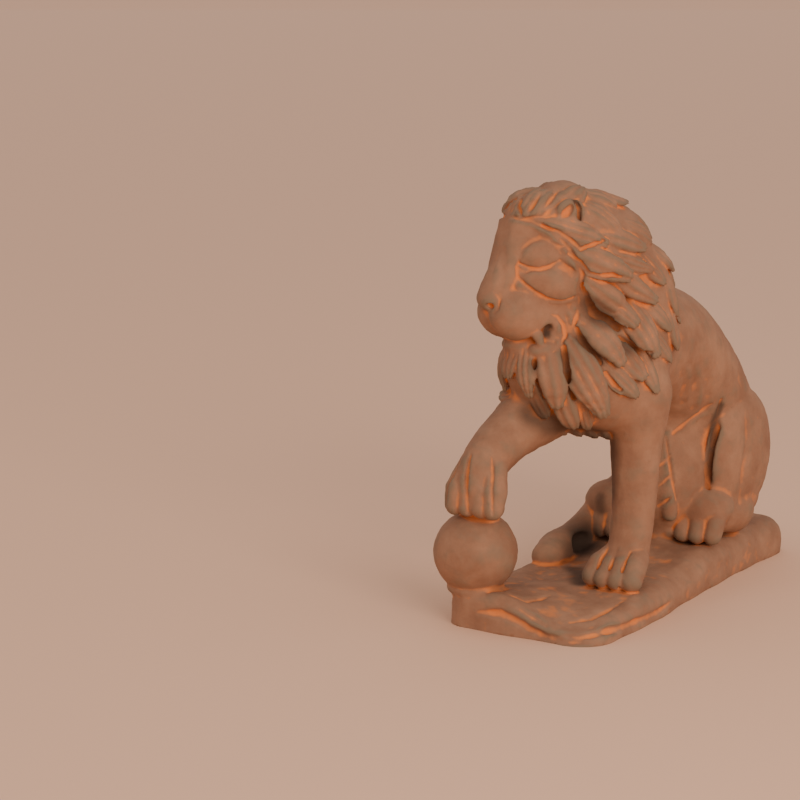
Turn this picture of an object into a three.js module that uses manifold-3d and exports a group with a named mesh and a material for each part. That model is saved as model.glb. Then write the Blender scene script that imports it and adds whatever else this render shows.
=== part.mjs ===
// A seated lion with one forepaw raised on a ball, cast in one piece with its base.
// Millimetres, +Z up. The lion faces -Y, its left side is at +X, and z = 0 is the underside.

import * as THREE from 'three';
import Module from 'manifold-3d';

// Driving dimensions
const BASE_LENGTH = 712;
const BASE_FRONT_WIDTH = 256;
const BASE_REAR_WIDTH = 222;
const BASE_THICKNESS = 46;
const REAR_RISE = 15;
const BALL_BLOCK = 12;
const CORNER_FALL = 42;
const BASE_EDGE_ROUND = 18;
const WORN_EDGE_ROUND = 32;
const BASE_FRONT_CORNER = 62;
const BASE_BALL_CORNER = 34;
const BASE_REAR_CORNER = 32;
const BALL_RADIUS = 63;
const BALL_CENTRE = [-100, -317, 108];
const BALL_COLLAR = [BALL_CENTRE[0], BALL_CENTRE[1], 54];
const HEAD_TURN = THREE.MathUtils.degToRad(28);
const NECK_Y = -150;
const MASK_CENTRE_Z = 520;
const STANCE = 66;
const TOE_OFFSETS = [-1.5, -0.5, 0.5, 1.5];
const LOCK_STEPS = 7;
const LOCK_SINK = 4;
const LOCK_SPACE = 20;
const CHEST_DROP = 45;
const SHOULDER_RISE = 60;
const LOCK_RINGS = 7;

// Size of the sculpting grid and of the finished mesh
const CELL = 5;
const GRID_MIN = [-180, -400, -30];
const GRID_MAX = [150, 380, 680];
const BELOW_UNDERSIDE = 20;
const TRIANGLES = 9300;

// The head has its own directions: forward along the muzzle, left, and up
const FORWARD = new THREE.Vector3(-Math.sin(HEAD_TURN), -Math.cos(HEAD_TURN), 0);
const LEFT = new THREE.Vector3(Math.cos(HEAD_TURN), -Math.sin(HEAD_TURN), 0);
const UP = new THREE.Vector3(0, 0, 1);
const NECK = new THREE.Vector3(0, NECK_Y, 0);
const WORLD_AXES = [new THREE.Vector3(1, 0, 0), new THREE.Vector3(0, 1, 0), UP];
const HEAD_AXES = [FORWARD, LEFT, UP];

const clamp = THREE.MathUtils.clamp;
const lerp = THREE.MathUtils.lerp;
const degrees = THREE.MathUtils.degToRad;

function headVector(forward, left, up) {
  return new THREE.Vector3()
    .addScaledVector(FORWARD, forward)
    .addScaledVector(LEFT, left)
    .addScaledVector(UP, up);
}

function head(forward, left, height) {
  return headVector(forward, left, height).add(NECK);
}

function station(point, radius) {
  return [point.x, point.y, point.z, radius];
}

// Value of a curve through a few knots, straight between them
function through(value, knots, values) {
  if (value <= knots[0]) return values[0];
  for (let i = 1; i < knots.length; i += 1) {
    if (value <= knots[i]) {
      const t = (value - knots[i - 1]) / (knots[i] - knots[i - 1]);
      return lerp(values[i - 1], values[i], t);
    }
  }
  return values[values.length - 1];
}

// Repeatable scatter between -1 and 1
function scatter(seed) {
  let state = seed;
  return () => {
    state = (Math.imul(state, 1664525) + 1013904223) >>> 0;
    return state / 2147483648 - 1;
  };
}

// An ellipsoid: centre, three radii and the three directions they lie along
function egg(centre, radii, axes = WORLD_AXES) {
  const c = centre.isVector3 ? centre.toArray() : centre;
  const reach = Math.max(...radii);
  const turn = axes.map((axis) => axis.clone().normalize().toArray());
  const distance = (x, y, z) => {
    let near = 0;
    let far = 0;
    for (let i = 0; i < 3; i += 1) {
      const a = turn[i];
      const q = (a[0] * (x - c[0]) + a[1] * (y - c[1]) + a[2] * (z - c[2])) / radii[i];
      near += q * q;
      far += (q / radii[i]) ** 2;
    }
    const k = Math.sqrt(near);
    return (k * (k - 1)) / (Math.sqrt(far) + 1e-6);
  };
  return { min: c.map((v) => v - reach), max: c.map((v) => v + reach), distance };
}

// A chain of tapered round links through stations [x, y, z, radius].
// ups flattens the section along a direction given at each station.
function limb(stations, ups = null, flatness = 1) {
  const links = [];
  for (let i = 0; i + 1 < stations.length; i += 1) {
    const a = new THREE.Vector3(...stations[i]);
    const run = new THREE.Vector3(...stations[i + 1]).sub(a);
    const link = { a: a.toArray(), run: run.toArray(), square: run.lengthSq() };
    link.r0 = stations[i][3];
    link.r1 = stations[i + 1][3];
    if (ups) {
      const flat = ups[i].clone().add(ups[i + 1]);
      flat.addScaledVector(run, -flat.dot(run) / link.square).normalize();
      link.flat = flat.toArray();
    }
    links.push(link);
  }
  const squash = 1 / flatness ** 2 - 1;
  const distance = (x, y, z) => {
    let best = Infinity;
    for (const { a, run, square, r0, r1, flat } of links) {
      const px = x - a[0];
      const py = y - a[1];
      const pz = z - a[2];
      const t = clamp((px * run[0] + py * run[1] + pz * run[2]) / square, 0, 1);
      const vx = px - t * run[0];
      const vy = py - t * run[1];
      const vz = pz - t * run[2];
      const length = Math.sqrt(vx * vx + vy * vy + vz * vz) + 1e-6;
      const radius = r0 + (r1 - r0) * t;
      let d = length - radius;
      if (flat) {
        const across = vx * flat[0] + vy * flat[1] + vz * flat[2];
        const swollen = Math.sqrt(length * length + across * across * squash);
        d = ((swollen - radius) * length) / swollen;
      }
      if (d < best) best = d;
    }
    return best;
  };
  const low = (i) => Math.min(...stations.map((s) => s[i] - s[3]));
  const high = (i) => Math.max(...stations.map((s) => s[i] + s[3]));
  return { min: [0, 1, 2].map(low), max: [0, 1, 2].map(high), distance };
}

// A smooth run of stations through a few chosen ones
function smooth(stations, steps) {
  const points = stations.map((s) => new THREE.Vector3(s[0], s[1], s[2]));
  const curve = new THREE.CatmullRomCurve3(points, false, 'catmullrom', 0.5);
  const spans = stations.length - 1;
  const out = [];
  for (let i = 0; i <= spans * steps; i += 1) {
    const at = i / steps;
    const span = Math.min(Math.floor(at), spans - 1);
    const radius = lerp(stations[span][3], stations[span + 1][3], at - span);
    out.push(station(curve.getPoint(at / spans), radius));
  }
  return out;
}

// The sculpting grid holds the distance to the surface, negative inside
class Clay {
  constructor(min, max, cell) {
    this.min = min;
    this.cell = cell;
    this.count = min.map((v, i) => Math.round((max[i] - v) / cell) + 1);
    this.values = new Float32Array(this.count[0] * this.count[1] * this.count[2]).fill(60);
  }

  index(i, j, k) {
    return (i * this.count[1] + j) * this.count[2] + k;
  }

  span(shape, axis, margin) {
    const from = Math.floor((shape.min[axis] - margin - this.min[axis]) / this.cell);
    const to = Math.ceil((shape.max[axis] + margin - this.min[axis]) / this.cell);
    return [clamp(from, 0, this.count[axis] - 1), clamp(to, 0, this.count[axis] - 1)];
  }

  visit(shape, margin, change) {
    const [i0, i1] = this.span(shape, 0, margin);
    const [j0, j1] = this.span(shape, 1, margin);
    const [k0, k1] = this.span(shape, 2, margin);
    for (let i = i0; i <= i1; i += 1) {
      const x = this.min[0] + i * this.cell;
      for (let j = j0; j <= j1; j += 1) {
        const y = this.min[1] + j * this.cell;
        for (let k = k0; k <= k1; k += 1) {
          const at = this.index(i, j, k);
          const z = this.min[2] + k * this.cell;
          this.values[at] = change(this.values[at], shape.distance(x, y, z));
        }
      }
    }
  }

  add(shape, blend) {
    this.visit(shape, blend + 2 * this.cell, (a, b) => {
      const h = clamp(0.5 + (0.5 * (a - b)) / blend, 0, 1);
      return lerp(a, b, h) - blend * h * (1 - h);
    });
  }

  carve(shape, blend) {
    this.visit(shape, blend + 2 * this.cell, (a, b) => {
      const h = clamp(0.5 - (0.5 * (a + b)) / blend, 0, 1);
      return lerp(a, -b, h) + blend * h * (1 - h);
    });
  }

  copy() {
    const twin = Object.create(Clay.prototype);
    return Object.assign(twin, this, { values: this.values.slice() });
  }

  at(p) {
    const q = p.toArray().map((v, i) => (v - this.min[i]) / this.cell);
    const o = q.map((v, i) => clamp(Math.floor(v), 0, this.count[i] - 2));
    const t = q.map((v, i) => v - o[i]);
    const edge = (i, j) => {
      const at = this.index(o[0] + i, o[1] + j, o[2]);
      return lerp(this.values[at], this.values[at + 1], t[2]);
    };
    return lerp(lerp(edge(0, 0), edge(0, 1), t[1]), lerp(edge(1, 0), edge(1, 1), t[1]), t[0]);
  }

  normal(p) {
    const slope = WORLD_AXES.map((axis) => {
      const ahead = p.clone().addScaledVector(axis, 7);
      const behind = p.clone().addScaledVector(axis, -7);
      return this.at(ahead) - this.at(behind);
    });
    return new THREE.Vector3(...slope).normalize();
  }

  onto(p) {
    const q = p.clone();
    for (let i = 0; i < 5; i += 1) {
      q.addScaledVector(this.normal(q), -clamp(this.at(q), -20, 20));
    }
    return q;
  }
}

// The base is a slab with rounded edges, narrower and a little higher at the rear. It falls
// away to the corner in front of the standing foreleg.
function baseSlab() {
  const halfLength = BASE_LENGTH / 2;
  const distance = (x, y, z) => {
    const besideBall = x < 0 ? BASE_BALL_CORNER : BASE_FRONT_CORNER;
    const corner = y > 0 ? BASE_REAR_CORNER : besideBall;
    const taper = clamp((y + 150) / 250, 0, 1);
    const worn = clamp(x / 60, 0, 1) * clamp((y + 240) / 120, 0, 1);
    const edgeRound = lerp(BASE_EDGE_ROUND, WORN_EDGE_ROUND, worn);
    const halfWidth = lerp(BASE_FRONT_WIDTH, BASE_REAR_WIDTH, taper) / 2;
    const bulge = x < 0 ? 4 * Math.exp(-(((y + 300) / 60) ** 2)) : 0;
    const qx = Math.abs(x) - (halfWidth + bulge - corner);
    const qy = Math.abs(y) - (halfLength - corner);
    const straight = Math.min(Math.max(qx, qy), 0);
    const sides = 2.5 * Math.sin(y / 23 + 1) * Math.sin(y / 61);
    const ends = 2 * Math.sin(x / 19) * Math.cos(z / 17);
    const outline = Math.hypot(Math.max(qx, 0), Math.max(qy, 0)) + straight - corner;
    const front = clamp((-y - 215) / 130, 0, 1);
    const fall = front * (BALL_BLOCK - CORNER_FALL * THREE.MathUtils.smoothstep(x, -60, 100));
    const rise = REAR_RISE * THREE.MathUtils.smoothstep(y, -50, 70);
    const ripple = 1.6 * Math.sin(x / 21 + y / 37) * Math.sin(y / 29 - x / 43);
    const top = BASE_THICKNESS + fall + rise + ripple;
    const half = (top + BELOW_UNDERSIDE) / 2;
    const a = outline + sides + ends + edgeRound;
    const b = Math.abs(z - top + half) - half + edgeRound;
    const outside = Math.hypot(Math.max(a, 0), Math.max(b, 0));
    return outside + Math.min(Math.max(a, b), 0) - edgeRound;
  };
  return {
    min: [-BASE_FRONT_WIDTH / 2 - 12, -halfLength - 6, -BELOW_UNDERSIDE],
    max: [BASE_FRONT_WIDTH / 2 + 6, halfLength + 6, BASE_THICKNESS + REAR_RISE + 8],
    distance,
  };
}

// Trunk from the rump up the arched back to the withers, and the belly under it
function trunk(clay) {
  const stations = [
    [0, 196, 100, 84],
    [0, 222, 190, 106],
    [0, 192, 262, 104],
    [0, 130, 330, 101],
    [0, 45, 384, 98],
    [0, -70, 395, 90],
  ];
  clay.add(limb(smooth(stations, 4)), 10);
  clay.add(egg([0, 112, 170], [77, 86, 112]), 30);
}

// Thigh, folded leg and four toes. foot is how far the paw stands from the middle, front
// is where the knee ends, and shift moves the paw forward.
function hindLeg(clay, side, foot, front, shift) {
  const rear = 304;
  const middle = (front + rear) / 2;
  clay.add(egg([side * 84, middle, 192], [38, rear - middle, 108]), 3);
  clay.add(
    limb([
      [side * 82, 226, 112, 28],
      [side * 80, 190 + shift * 0.3, 100, 40],
      [side * (foot + 4), 142 + shift, 108, 40],
      [side * foot, 116 + shift, 90, 34],
    ]),
    6,
  );
  clay.add(egg([side * (foot + 6), 123 + shift, 115], [48, 44, 37]), 6);
  for (const o of TOE_OFFSETS) {
    const curl = Math.abs(o);
    clay.add(
      limb([
        [side * (foot + o * 17), 126 + shift, 118, 22],
        [side * (foot + o * 23), 96 + shift + curl * 4, 103 - curl * 5, 18],
        [side * (foot + o * 24), 82 + shift + curl * 6, 77, 15],
      ]),
      2.5,
    );
  }
}

// The left foreleg stands straight on the base
function standingForeleg(clay) {
  clay.add(egg([68, -120, 330], [46, 50, 92]), 8);
  const stations = [
    [STANCE + 2, -118, 335, 48],
    [STANCE - 3, -118, 262, 40],
    [STANCE, -126, 180, 34],
    [STANCE, -138, 110, 32],
    [STANCE - 2, -150, 78, 34],
  ];
  clay.add(limb(smooth(stations, 3)), 5);
  for (const o of TOE_OFFSETS) {
    clay.add(
      limb([
        [STANCE - 1 + o * 12, -150, 88, 20],
        [STANCE - 1 + o * 19, -176, 78, 19],
        [STANCE - 2 + o * 21.5, -197 + Math.abs(o) * 4, 62, 17],
      ]),
      2.5,
    );
  }
}

// The right foreleg reaches forward and down to the top of the ball
function raisedForeleg(clay) {
  const stations = [
    [-52, -120, 342, 58],
    [-60, -190, 312, 52],
    [-74, -262, 282, 41],
    [-84, -312, 250, 36],
    [-87, -328, 215, 36],
  ];
  clay.add(limb(smooth(stations, 3)), 14);
  for (const o of TOE_OFFSETS) {
    clay.add(
      limb([
        [-84 + o * 15, -324, 242, 17],
        [-83 + o * 21, -344, 209, 19],
        [-83 + o * 22, -350, 184, 15],
      ]),
      2.5,
    );
  }
  // The pad under the toes, which rests on the ball
  clay.add(egg([-88, -320, 178], [36, 28, 22]), 4);
}

// The bulk under the locks: crown, nape, shoulders, chest and beard
function maneBulk(clay) {
  clay.add(egg(head(32, 0, 544), [90, 86, 101], HEAD_AXES), 20);
  clay.add(egg([8, -89, 474], [88, 81, 102]), 20);
  clay.add(egg([5, -105, 410], [98, 100, 108]), 20);
  clay.add(egg([-10, -185, 380], [84, 78, 94]), 20);
  clay.add(egg(head(85, 0, 384), [57, 58, 62], HEAD_AXES), 20);
  clay.add(egg(head(74, 0, 456), [56, 52, 62], HEAD_AXES), 20);
  clay.add(egg([22, -150, 345], [70, 74, 66]), 16);
  clay.add(egg([14, -125, 530], [66, 62, 90]), 16);
  clay.add(egg(head(84, 0, 575), [64, 62, 61], HEAD_AXES), 8);
  clay.add(egg(head(98, 0, 612), [42, 44, 27], HEAD_AXES), 8);
  clay.add(egg(head(58, 0, 624), [32, 38, 28], HEAD_AXES), 8);
}

// Which way the hair falls: back over the crown, ever steeper down the sides and nape
function hairFlow(p) {
  const q = p.clone().sub(NECK);
  const forward = q.dot(FORWARD);
  const around = Math.abs(Math.atan2(q.dot(LEFT), p.z - MASK_CENTRE_Z));
  const fall = through(
    THREE.MathUtils.radToDeg(around),
    [0, 40, 70, 90, 120, 180],
    [-6, 8, 24, 42, 50, 60],
  );
  const slope = degrees(fall + 35 * clamp(-forward / 140, 0, 1));
  return headVector(-Math.cos(slope), 0, -Math.sin(slope));
}

function along(clay, p, heading, distance) {
  const normal = clay.normal(p);
  const way = heading.clone().addScaledVector(normal, -heading.dot(normal)).normalize();
  return clay.onto(p.clone().addScaledVector(way, distance));
}

// Height of the mane's lower edge: it rises over the shoulder to the back, and hangs
// lower on the chest between the forelegs
function maneEdge(p) {
  const edge = through(p.y, [-260, -215, -112, -70, -40, -5], [312, 320, 338, 385, 440, 540]);
  const chest = p.y < -150 ? clamp((70 - Math.abs(p.x - 10)) / 25, 0, 1) : 0;
  const shoulder = p.y < -90 ? clamp((p.x - 40) / 25, 0, 1) : 0;
  return edge - CHEST_DROP * chest + SHOULDER_RISE * shoulder;
}

// Root of a lock on a ring around the face or, further back, around the neck
function lockRoot(clay, depth, lean, turn) {
  const angle = turn - 0.06 * Math.sin(2 * turn);
  const height = through(depth, [-206, -90, 60], [430, 455, 515]);
  const behind = clamp(-depth / 100, 0, 1);
  const centre = head(Math.max(depth, 0), 0, height);
  centre.y -= Math.min(depth, 0);
  const side = LEFT.clone().lerp(WORLD_AXES[0], behind);
  const upright = Math.cos(angle);
  const ray = side.multiplyScalar(Math.sin(angle) * 75);
  ray.addScaledVector(UP, upright * 110).addScaledVector(FORWARD, lean * upright ** 4);
  ray.normalize();
  const p = centre.clone();
  for (let travel = 0; travel < 240 && clay.at(p) < 0; travel += CELL) {
    p.addScaledVector(ray, CELL);
  }
  return clay.onto(p);
}

// Ground points down the fall of the hair, swaying a little from side to side
function fallingPath(ground, root, length, sway) {
  const path = [root];
  for (let i = 0; i < LOCK_STEPS; i += 1) {
    const p = path[i];
    const heading = hairFlow(p);
    const wave = sway * Math.sin((Math.PI * 1.6 * i) / LOCK_STEPS);
    heading.addScaledVector(ground.normal(p).cross(heading), wave);
    path.push(along(ground, p, heading, length / LOCK_STEPS));
  }
  return path;
}

// Ground points from a root to a tip, both given in the head's directions
function drawnPath(ground, root, tip, side) {
  const end = head(tip[0], tip[1] * side, tip[2]);
  const path = [ground.onto(head(root[0], root[1] * side, root[2]))];
  for (let i = 0; i < LOCK_STEPS; i += 1) {
    const p = path[i];
    const normal = ground.normal(p);
    const reach = end.clone().sub(p);
    reach.addScaledVector(normal, -reach.dot(normal)).divideScalar(LOCK_STEPS - i);
    path.push(ground.onto(p.clone().add(reach)));
  }
  return path;
}

// One lock: a flat tongue that hugs the mane, blunt at the tip and lifted there
function lock(clay, ground, path, { width, lift, flatness }) {
  const stations = [];
  const ups = [];
  path.forEach((p, i) => {
    const t = i / LOCK_STEPS;
    const normal = ground.normal(p);
    const belly = 0.74 + 0.26 * Math.sin(Math.PI * Math.min(1, t * 1.1));
    const tip = 1 - 0.3 * clamp((t - 0.65) / 0.35, 0, 1) ** 2;
    const raised = p.clone().addScaledVector(normal, lift * t ** 1.2 - LOCK_SINK);
    stations.push(station(raised, 0.5 * width * belly * tip));
    ups.push(normal);
  });
  clay.add(limb(stations, ups, flatness), 1.5);
}

// Large locks of the left side, from the shoulder to the face: root, tip and width.
// Places are forward, left and height. The right side has the same ones mirrored.
const THIRD_ROW = [
  [[-30, 83, 410], [-52, 98, 350], 32],
  [[-60, 80, 430], [-92, 80, 390], 30],
  [[-52, 78, 480], [-88, 66, 436], 32],
  [[-30, 64, 602], [-78, 40, 566], 36],
  [[-44, 60, 546], [-82, 54, 504], 34],
];
const SECOND_ROW = [
  [[118, 30, 340], [98, 28, 314], 30],
  [[58, 66, 326], [38, 52, 296], 28],
  [[90, 56, 345], [64, 50, 304], 42],
  [[33, 88, 392], [-12, 92, 348], 40],
  [[10, 82, 422], [-28, 90, 372], 44],
  [[-16, 74, 478], [-50, 88, 406], 50],
  [[8, 86, 524], [-60, 68, 480], 40],
  [[24, 88, 550], [-56, 62, 526], 34],
  [[28, 80, 582], [-40, 60, 558], 36],
  [[42, 50, 622], [4, 74, 588], 38],
  [[40, 22, 640], [-10, 36, 622], 36],
];
const FACE_ROW = [
  [[143, 8, 420], [139, 4, 376], 34],
  [[127, 24, 420], [122, 27, 354], 38],
  [[108, 48, 414], [94, 55, 342], 50],
  [[84, 60, 424], [37, 82, 330], 56],
  [[64, 58, 468], [18, 88, 398], 54],
  [[62, 74, 510], [-18, 74, 450], 54],
  [[86, 66, 560], [0, 84, 524], 50],
  [[124, 43, 602], [38, 82, 572], 44],
  [[100, 46, 614], [46, 38, 646], 44],
  [[137, 27, 606], [90, 16, 650], 46],
  [[148, 9, 602], [130, 8, 644], 30],
];

// Rings of smaller locks over the crown, nape and shoulders, clear of the large ones
function smallLocks(clay, ground, taken) {
  const random = scatter(4);
  for (let ring = LOCK_RINGS - 1; ring >= 1; ring -= 1) {
    const depth = through(ring, [0, 1, 2, 3, 6], [58, 4, -42, -82, -172]);
    const lean = through(ring, [0, 1, 2, 6], [78, 70, 44, 0]);
    const count = Math.round(through(ring, [0, 1, 2, 6], [17, 18, 18, 16]));
    const length = through(ring, [0, 1, 2, 6], [94, 74, 60, 40]);
    const width = through(ring, [0, 1, 2, 6], [49, 44, 40, 32]);
    const lift = through(ring, [0, 1, 2, 6], [16, 13, 11, 6]);
    const flatness = through(ring, [0, 1, 6], [0.52, 0.44, 0.36]);
    for (let i = 0; i < count; i += 1) {
      const turn = degrees(-180 + (360 * (i + (ring % 2) / 2)) / count);
      const root = lockRoot(ground, depth, lean, turn);
      const ownLength = length * (1 + 0.08 * random());
      const ownWidth = width * (1 + 0.06 * random());
      const path = fallingPath(ground, root, ownLength, 0.3 * random());
      const middle = path[4];
      const free = taken.every((p) => p.distanceTo(middle) > LOCK_SPACE);
      if (free && middle.z > maneEdge(middle)) {
        lock(clay, ground, path, { width: ownWidth, lift, flatness });
      }
    }
  }
}

// The locks are laid from the shoulder up to the face, so each row lies on the one behind.
// The far side keeps only the ones above the mane's edge, clear of the raised foreleg.
function maneLocks(clay) {
  const ground = clay.copy();
  const rows = [
    [THIRD_ROW, 0.42],
    [SECOND_ROW, 0.46],
    [FACE_ROW, 0.5],
  ];
  const large = [];
  const taken = [];
  for (const [row, flatness] of rows) {
    for (const [root, tip, width] of row) {
      for (const side of [1, -1]) {
        const path = drawnPath(ground, root, tip, side);
        taken.push(...path.slice(2));
        if (side > 0 || path[4].z > maneEdge(path[4]) - 10) {
          const lift = (root[2] < 600 ? 0.3 : 0.17) * width;
          large.push({ path, width, lift, flatness });
        }
      }
    }
  }
  smallLocks(clay, ground, taken);
  for (const { path, ...shape } of large) lock(clay, ground, path, shape);
}

// Points moved on to the surface, then sunk into it
function sunk(clay, points, sink) {
  return points.map((point) => {
    const q = point.clone();
    for (let i = 0; i < 4; i += 1) {
      q.addScaledVector(clay.normal(q), -clamp(clay.at(q), -12, 12));
    }
    return q.addScaledVector(clay.normal(q), -sink);
  });
}

// A line scored along the surface, finer at its ends
function score(clay, points, radius, blend, sink) {
  const last = points.length - 1;
  const stations = sunk(clay, points, sink).map((q, i) => {
    const atEnd = i === 0 || i === last;
    return station(q, atEnd ? radius * 0.55 : radius);
  });
  clay.carve(limb(stations), blend);
}

function scoreBody(clay, places, radius, blend, sink) {
  const points = places.map((place) => new THREE.Vector3(...place));
  score(clay, points, radius, blend, sink);
}

function scoreFace(clay, places, radius, blend, sink) {
  for (const side of [1, -1]) {
    const points = places.map(([forward, left, height]) => head(forward, left * side, height));
    score(clay, points, radius, blend, sink);
  }
}

// A gap between large locks, on both sides, wider and deeper in the middle
function gap(clay, places, radius) {
  for (const side of [1, -1]) {
    const points = places.map(([forward, left, height]) => head(forward, left * side, height));
    const stations = sunk(clay, points, 2).map((q, i) => {
      const swell = Math.sin((Math.PI * (i + 0.6)) / (points.length + 0.2));
      return station(q, radius * (0.35 + 0.65 * swell));
    });
    clay.carve(limb(stations), 2);
  }
}

// The face as masses: steep bridge, muzzle pads, closed lids, full cheeks, nose and jaw
function mask(clay) {
  for (const side of [1, -1]) {
    const bridge = [
      station(head(128, side * 13, 594), 25),
      station(head(145, side * 13, 545), 22),
      station(head(170, side * 8, 503), 18),
    ];
    clay.add(limb(bridge), 12);
    clay.add(egg(head(132, side * 17, 468), [54, 36, 42], HEAD_AXES), 8);
    clay.add(egg(head(96, side * 30, 532), [42, 27, 54], HEAD_AXES), 14);
    clay.add(egg(head(112, side * 34, 557), [37, 24, 24], HEAD_AXES), 9);
    const cheekAxes = [
      headVector(-73, side * 24, -14),
      headVector(24, side * 73, 0),
      headVector(-14, 0, 73),
    ];
    clay.add(egg(head(96, side * 40, 513), [55, 29, 32], cheekAxes), 3);
  }
  clay.add(egg(head(180, 0, 490), [17, 23, 18], HEAD_AXES), 6);
  clay.add(egg(head(108, 0, 418), [42, 33, 25], HEAD_AXES), 8);
}

// The narrow mouth with its jaw pad, raised corner and one tooth on each side
function mouth(clay) {
  for (const side of [1, -1]) {
    clay.add(egg(head(108, side * 35, 457), [24, 16, 17], HEAD_AXES), 6);
    clay.add(egg(head(106, side * 36, 413), [27, 21, 15], HEAD_AXES), 4);
    const opening = [
      station(head(176, side * 3, 420), 3.5),
      station(head(149, side * 15, 423), 4),
      station(head(139, side * 25, 426), 4.5),
      station(head(126, side * 37, 431), 5.5),
      station(head(116, side * 44, 438), 7),
      station(head(107, side * 50, 443), 7),
    ];
    clay.carve(limb(opening), 2);
    clay.add(egg(head(90, side * 47, 445), [7, 8, 14], HEAD_AXES), 2);
    const tooth = [station(head(123, side * 43, 437), 7), station(head(119, side * 46, 424), 6)];
    clay.add(limb(tooth), 1.5);
  }
}

// Lines around the eye and cheek, the mask's border against the hair, and the nose's sides
function faceLines(clay) {
  scoreFace(clay, [[150, 34, 548], [152, 33, 538], [151, 31, 527]], 4, 1.5, 0.8);
  scoreFace(clay, [[151, 33, 545], [133, 42, 537], [116, 54, 533]], 4.5, 1.5, 0);
  const cheek = [
    [151, 30, 523],
    [143, 39, 507],
    [130, 47, 499],
    [115, 52, 491],
    [100, 58, 487],
    [78, 64, 489],
  ];
  scoreFace(clay, cheek, 4.2, 1.5, 0);
  const border = [
    [151, 10, 607],
    [142, 28, 603],
    [122, 46, 597],
    [104, 58, 584],
    [87, 66, 562],
    [72, 74, 536],
    [63, 76, 511],
    [60, 66, 488],
    [61, 60, 468],
    [74, 60, 446],
  ];
  scoreFace(clay, border, 5, 1.5, 0);
  scoreFace(clay, [[164, 14, 561], [175, 22, 526], [178, 25, 496]], 8, 8, -5);
}

function ears(clay) {
  for (const side of [1, -1]) {
    clay.add(egg(head(76, side * 56, 617), [24, 9, 19], HEAD_AXES), 8);
    clay.carve(egg(head(88, side * 64, 616), [12, 7, 9], HEAD_AXES), 3);
    const slot = [
      station(head(70, side * 62, 630), 3.5),
      station(head(68, side * 68, 617), 6),
      station(head(65, side * 67, 604), 3.5),
    ];
    clay.carve(limb(slot), 2);
  }
}

// The deep gaps under the large locks
function maneGaps(clay) {
  gap(clay, [[65, 76, 506], [57, 76, 486], [32, 74, 463], [2, 72, 446]], 9);
  gap(clay, [[69, 69, 444], [59, 87, 419], [39, 90, 396]], 7);
  gap(clay, [[91, 63, 420], [94, 79, 385], [75, 70, 344]], 7);
  gap(clay, [[128, 42, 397], [122, 43, 363], [108, 42, 342]], 6);
  gap(clay, [[0, 78, 430], [-26, 84, 410], [-42, 96, 405]], 6);
  gap(clay, [[35, 94, 381], [22, 97, 361], [12, 98, 354]], 5);
}

// The tail stands up as an arch over the right hind paw and comes down in a thick tuft that
// lies along the base, hollow on the side of the body
function tail(clay) {
  const stations = [
    [-30, 262, 78, 25],
    [-82, 262, 88, 26],
    [-101, 225, 110, 23],
    [-106, 170, 127, 18],
    [-106, 110, 116, 17],
    [-106, 50, 91, 18],
    [-106, -10, 69, 22],
    [-104, -62, 62, 26],
    [-98, -104, 56, 24],
  ];
  clay.add(limb(smooth(stations, 3)), 4);
  const tuft = [
    [-108, 120, 66, 24],
    [-110, 50, 62, 25],
    [-108, -20, 60, 26],
    [-100, -70, 58, 26],
  ];
  clay.add(limb(tuft), 5);
  clay.carve(egg([-82, -22, 64], [18, 36, 16]), 4);
}

// Edge and fold of the haunch, crease of the flank, rear edge of the shoulder, ribs, and
// the column of hair tufts down the belly
function coat(clay) {
  const fold = [[112, 174, 262], [116, 168, 212], [116, 158, 160], [110, 160, 118]];
  scoreBody(clay, fold, 9, 8, -5);
  const edge = [[95, 116, 292], [90, 107, 250], [84, 101, 213], [82, 101, 180], [82, 101, 150]];
  scoreBody(clay, edge, 6, 3, 2);
  const crease = [[30, 52, 236], [44, 71, 250], [64, 83, 267], [81, 101, 289]];
  scoreBody(clay, crease, 4.5, 3, 0.5);
  scoreBody(clay, [[112, -104, 345], [110, -98, 318], [106, -94, 290], [101, -94, 258]], 5, 4, -1);
  for (const y of [-30, 0, 30]) {
    scoreBody(clay, [[98, y, 366], [92, y + 40, 326], [70, y + 66, 282]], 9, 9, -7);
  }
  const hair = [[26, 56, 238, 9], [32, 50, 190, 13], [37, 47, 140, 14], [40, 50, 112, 12]];
  clay.add(limb(hair), 6);
}

// Short curls under the chest, between the forelegs
function chest(clay) {
  [-26, -8, 10, 28].forEach((x, i) => {
    const y = -206 + 16 * i;
    const z = 289 - 3 * i;
    const curl = [[x, y - 8, z + 19, 13], [x + 2, y, z, 12], [x + 7, y + 10, z - 10, 7]];
    clay.add(limb(curl), 2);
  });
}

// Grooves between the toes of both forepaws
function paws(clay) {
  for (const x of [43, 63, 84]) {
    scoreBody(clay, [[x, -172, 104], [x, -192, 86], [x, -208, 52]], 4, 1.5, 0);
  }
  const middle = [[-92, -346, 262], [-93, -354, 247], [-89, -364, 212], [-87, -364, 176]];
  const inner = [[-60, -338, 260], [-57, -342, 247], [-48, -359, 215], [-44, -362, 180]];
  const outer = [[-118, -344, 250], [-122, -356, 212], [-122, -356, 180]];
  for (const groove of [middle, inner, outer]) scoreBody(clay, groove, 4.2, 1.5, 0);
}

// The grid's zero surface as a closed mesh: each cell is split into six tetrahedra
const CELL_SPLIT = [
  [0, 1, 3, 7],
  [0, 3, 2, 7],
  [0, 2, 6, 7],
  [0, 6, 4, 7],
  [0, 4, 5, 7],
  [0, 5, 1, 7],
];

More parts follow.
